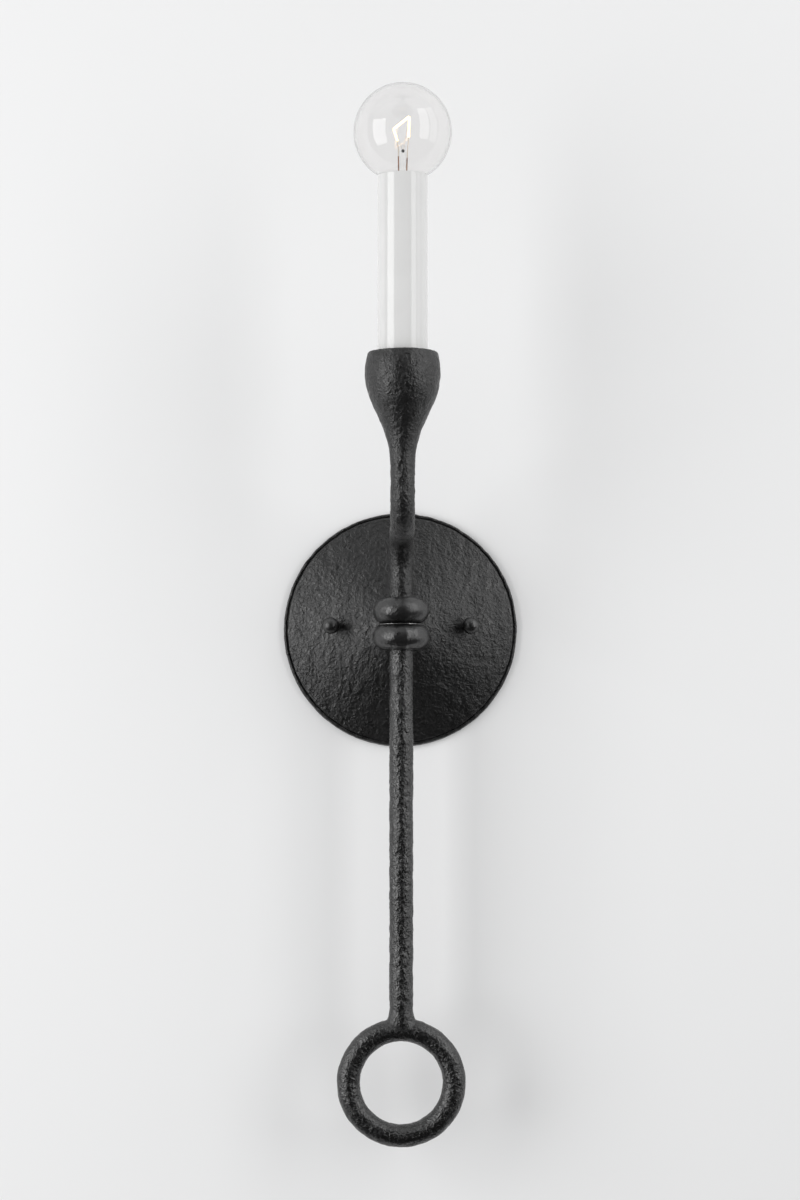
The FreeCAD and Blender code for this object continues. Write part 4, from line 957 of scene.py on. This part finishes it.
# %% Wire nuts
NUT_RADIUS = 4.6
NUT_SKIRT = 3.8
NUT_SHOULDER = (4.05, 5.0)
NUT_TIP = (3.3, 15.0)
GRIP_DEPTH = 8.0
RIB_COUNT = 18
RIB_DEPTH = 0.35
RIBS_BELOW_TIP = 0.6
TAPER_RINGS = 17
NUT_STEPS = 144
LENGTH_MATCH = 0.1 * MM
# Which way each nut points, and the radius of its bore
NUT_HEADINGS = {"left_lead": (Vector((-1, 0, 1)).normalized(), 1.15),
                "right_lead": (Vector((1, 0, 1)).normalized(), 1.15),
                "ground": (Vector((-1, 0, 0)), 0.85)}


def separate_solids(node):
    """The points of each separate solid in a node's mesh."""
    shape = bmesh.new()
    shape.from_mesh(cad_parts[node].data)
    bmesh.ops.remove_doubles(shape, verts=shape.verts, dist=WELD_DISTANCE)
    waiting, solids = set(shape.verts), []
    while waiting:
        front, solid = [waiting.pop()], []
        while front:
            point = front.pop()
            solid.append(point.co.copy())
            beyond = {link.other_vert(point) for link in point.link_edges} & waiting
            waiting -= beyond
            front += beyond
        solids.append(solid)
    shape.free()
    return solids


def ribs(angle, height):
    """How far the ribs press in. They fade out at both ends of the taper, and the bore has none."""
    if height == GRIP_DEPTH:
        return 0
    fade = max(0, min(1, height - NUT_SHOULDER[1], NUT_TIP[1] - RIBS_BELOW_TIP - height))
    return -RIB_DEPTH * fade * (0.5 + 0.5 * math.cos(RIB_COUNT * angle))


# The frame's nuts are one node. Each solid is the nut whose heading it is exactly one nut long in
for solid in separate_solids("wire_nuts"):
    for title, (heading, bore) in NUT_HEADINGS.items():
        along = [point.dot(heading) for point in solid]
        if abs(max(along) - min(along) - NUT_TIP[1] * MM) < LENGTH_MATCH:
            break
    rim = [point for point, height in zip(solid, along) if height < min(along) + SAME_HEIGHT]
    mouth = Vector([(min(side) + max(side)) / 2 for side in zip(*rim)])
    outline = [(0, GRIP_DEPTH), (bore, GRIP_DEPTH), *rounded([
        (bore, 0), (NUT_RADIUS, 0, 0.3), (NUT_RADIUS, NUT_SKIRT, 0.3), NUT_SHOULDER])[:-1],
        *between(NUT_SHOULDER, NUT_TIP, TAPER_RINGS)[:-1],
        *rounded([NUT_SHOULDER, (*NUT_TIP, 0.8), (0, NUT_TIP[1])])[1:]]
    nut = lathe(f"wire_nut_{title}", outline, mouth, heading, NUT_STEPS, wave=ribs)
    dress(nut, "fixture", nut_shell, "wire_nut_shell", *(["wire_nuts"] if title == "ground" else []))

# %% [markdown]
# ## Fittings that keep their shape
#
# The strap, studs, nipples, hex nuts, washers, socket parts, screw base, stem, ground screw and supply wires
# already have the right shapes in the frame. They keep them and only get better finishes, assigned to the slots of
# their own objects.

# %% Finishes for the frame's own nodes
NODE_FINISHES = {
    zinc: ["mounting_strap", "mounting_studs", "stud_nuts", "back_nipple", "back_flat_washer",
           "back_lock_washer", "back_nut", "cup_nipple", "cup_nut", "socket_bracket"],
    brass: ["socket_shell", "socket_contact", "socket_rivet", "bulb_base"],
    phenolic: ["socket_body"],
    fibre: ["socket_liner"],
    black_glass: ["bulb_insulator"],
    solder: ["bulb_tip"],
    stem_glass: ["bulb_stem"],
    black_jacket: ["lead_black"],
    white_jacket: ["lead_white"],
    copper: ["ground_wire"],
    green_paint: ["ground_screw"],
}
for material, names in NODE_FINISHES.items():
    for node in names:
        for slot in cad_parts[node].material_slots:
            slot.link = "OBJECT"
            slot.material = material
    print(material.name, "on", len(names), "nodes")
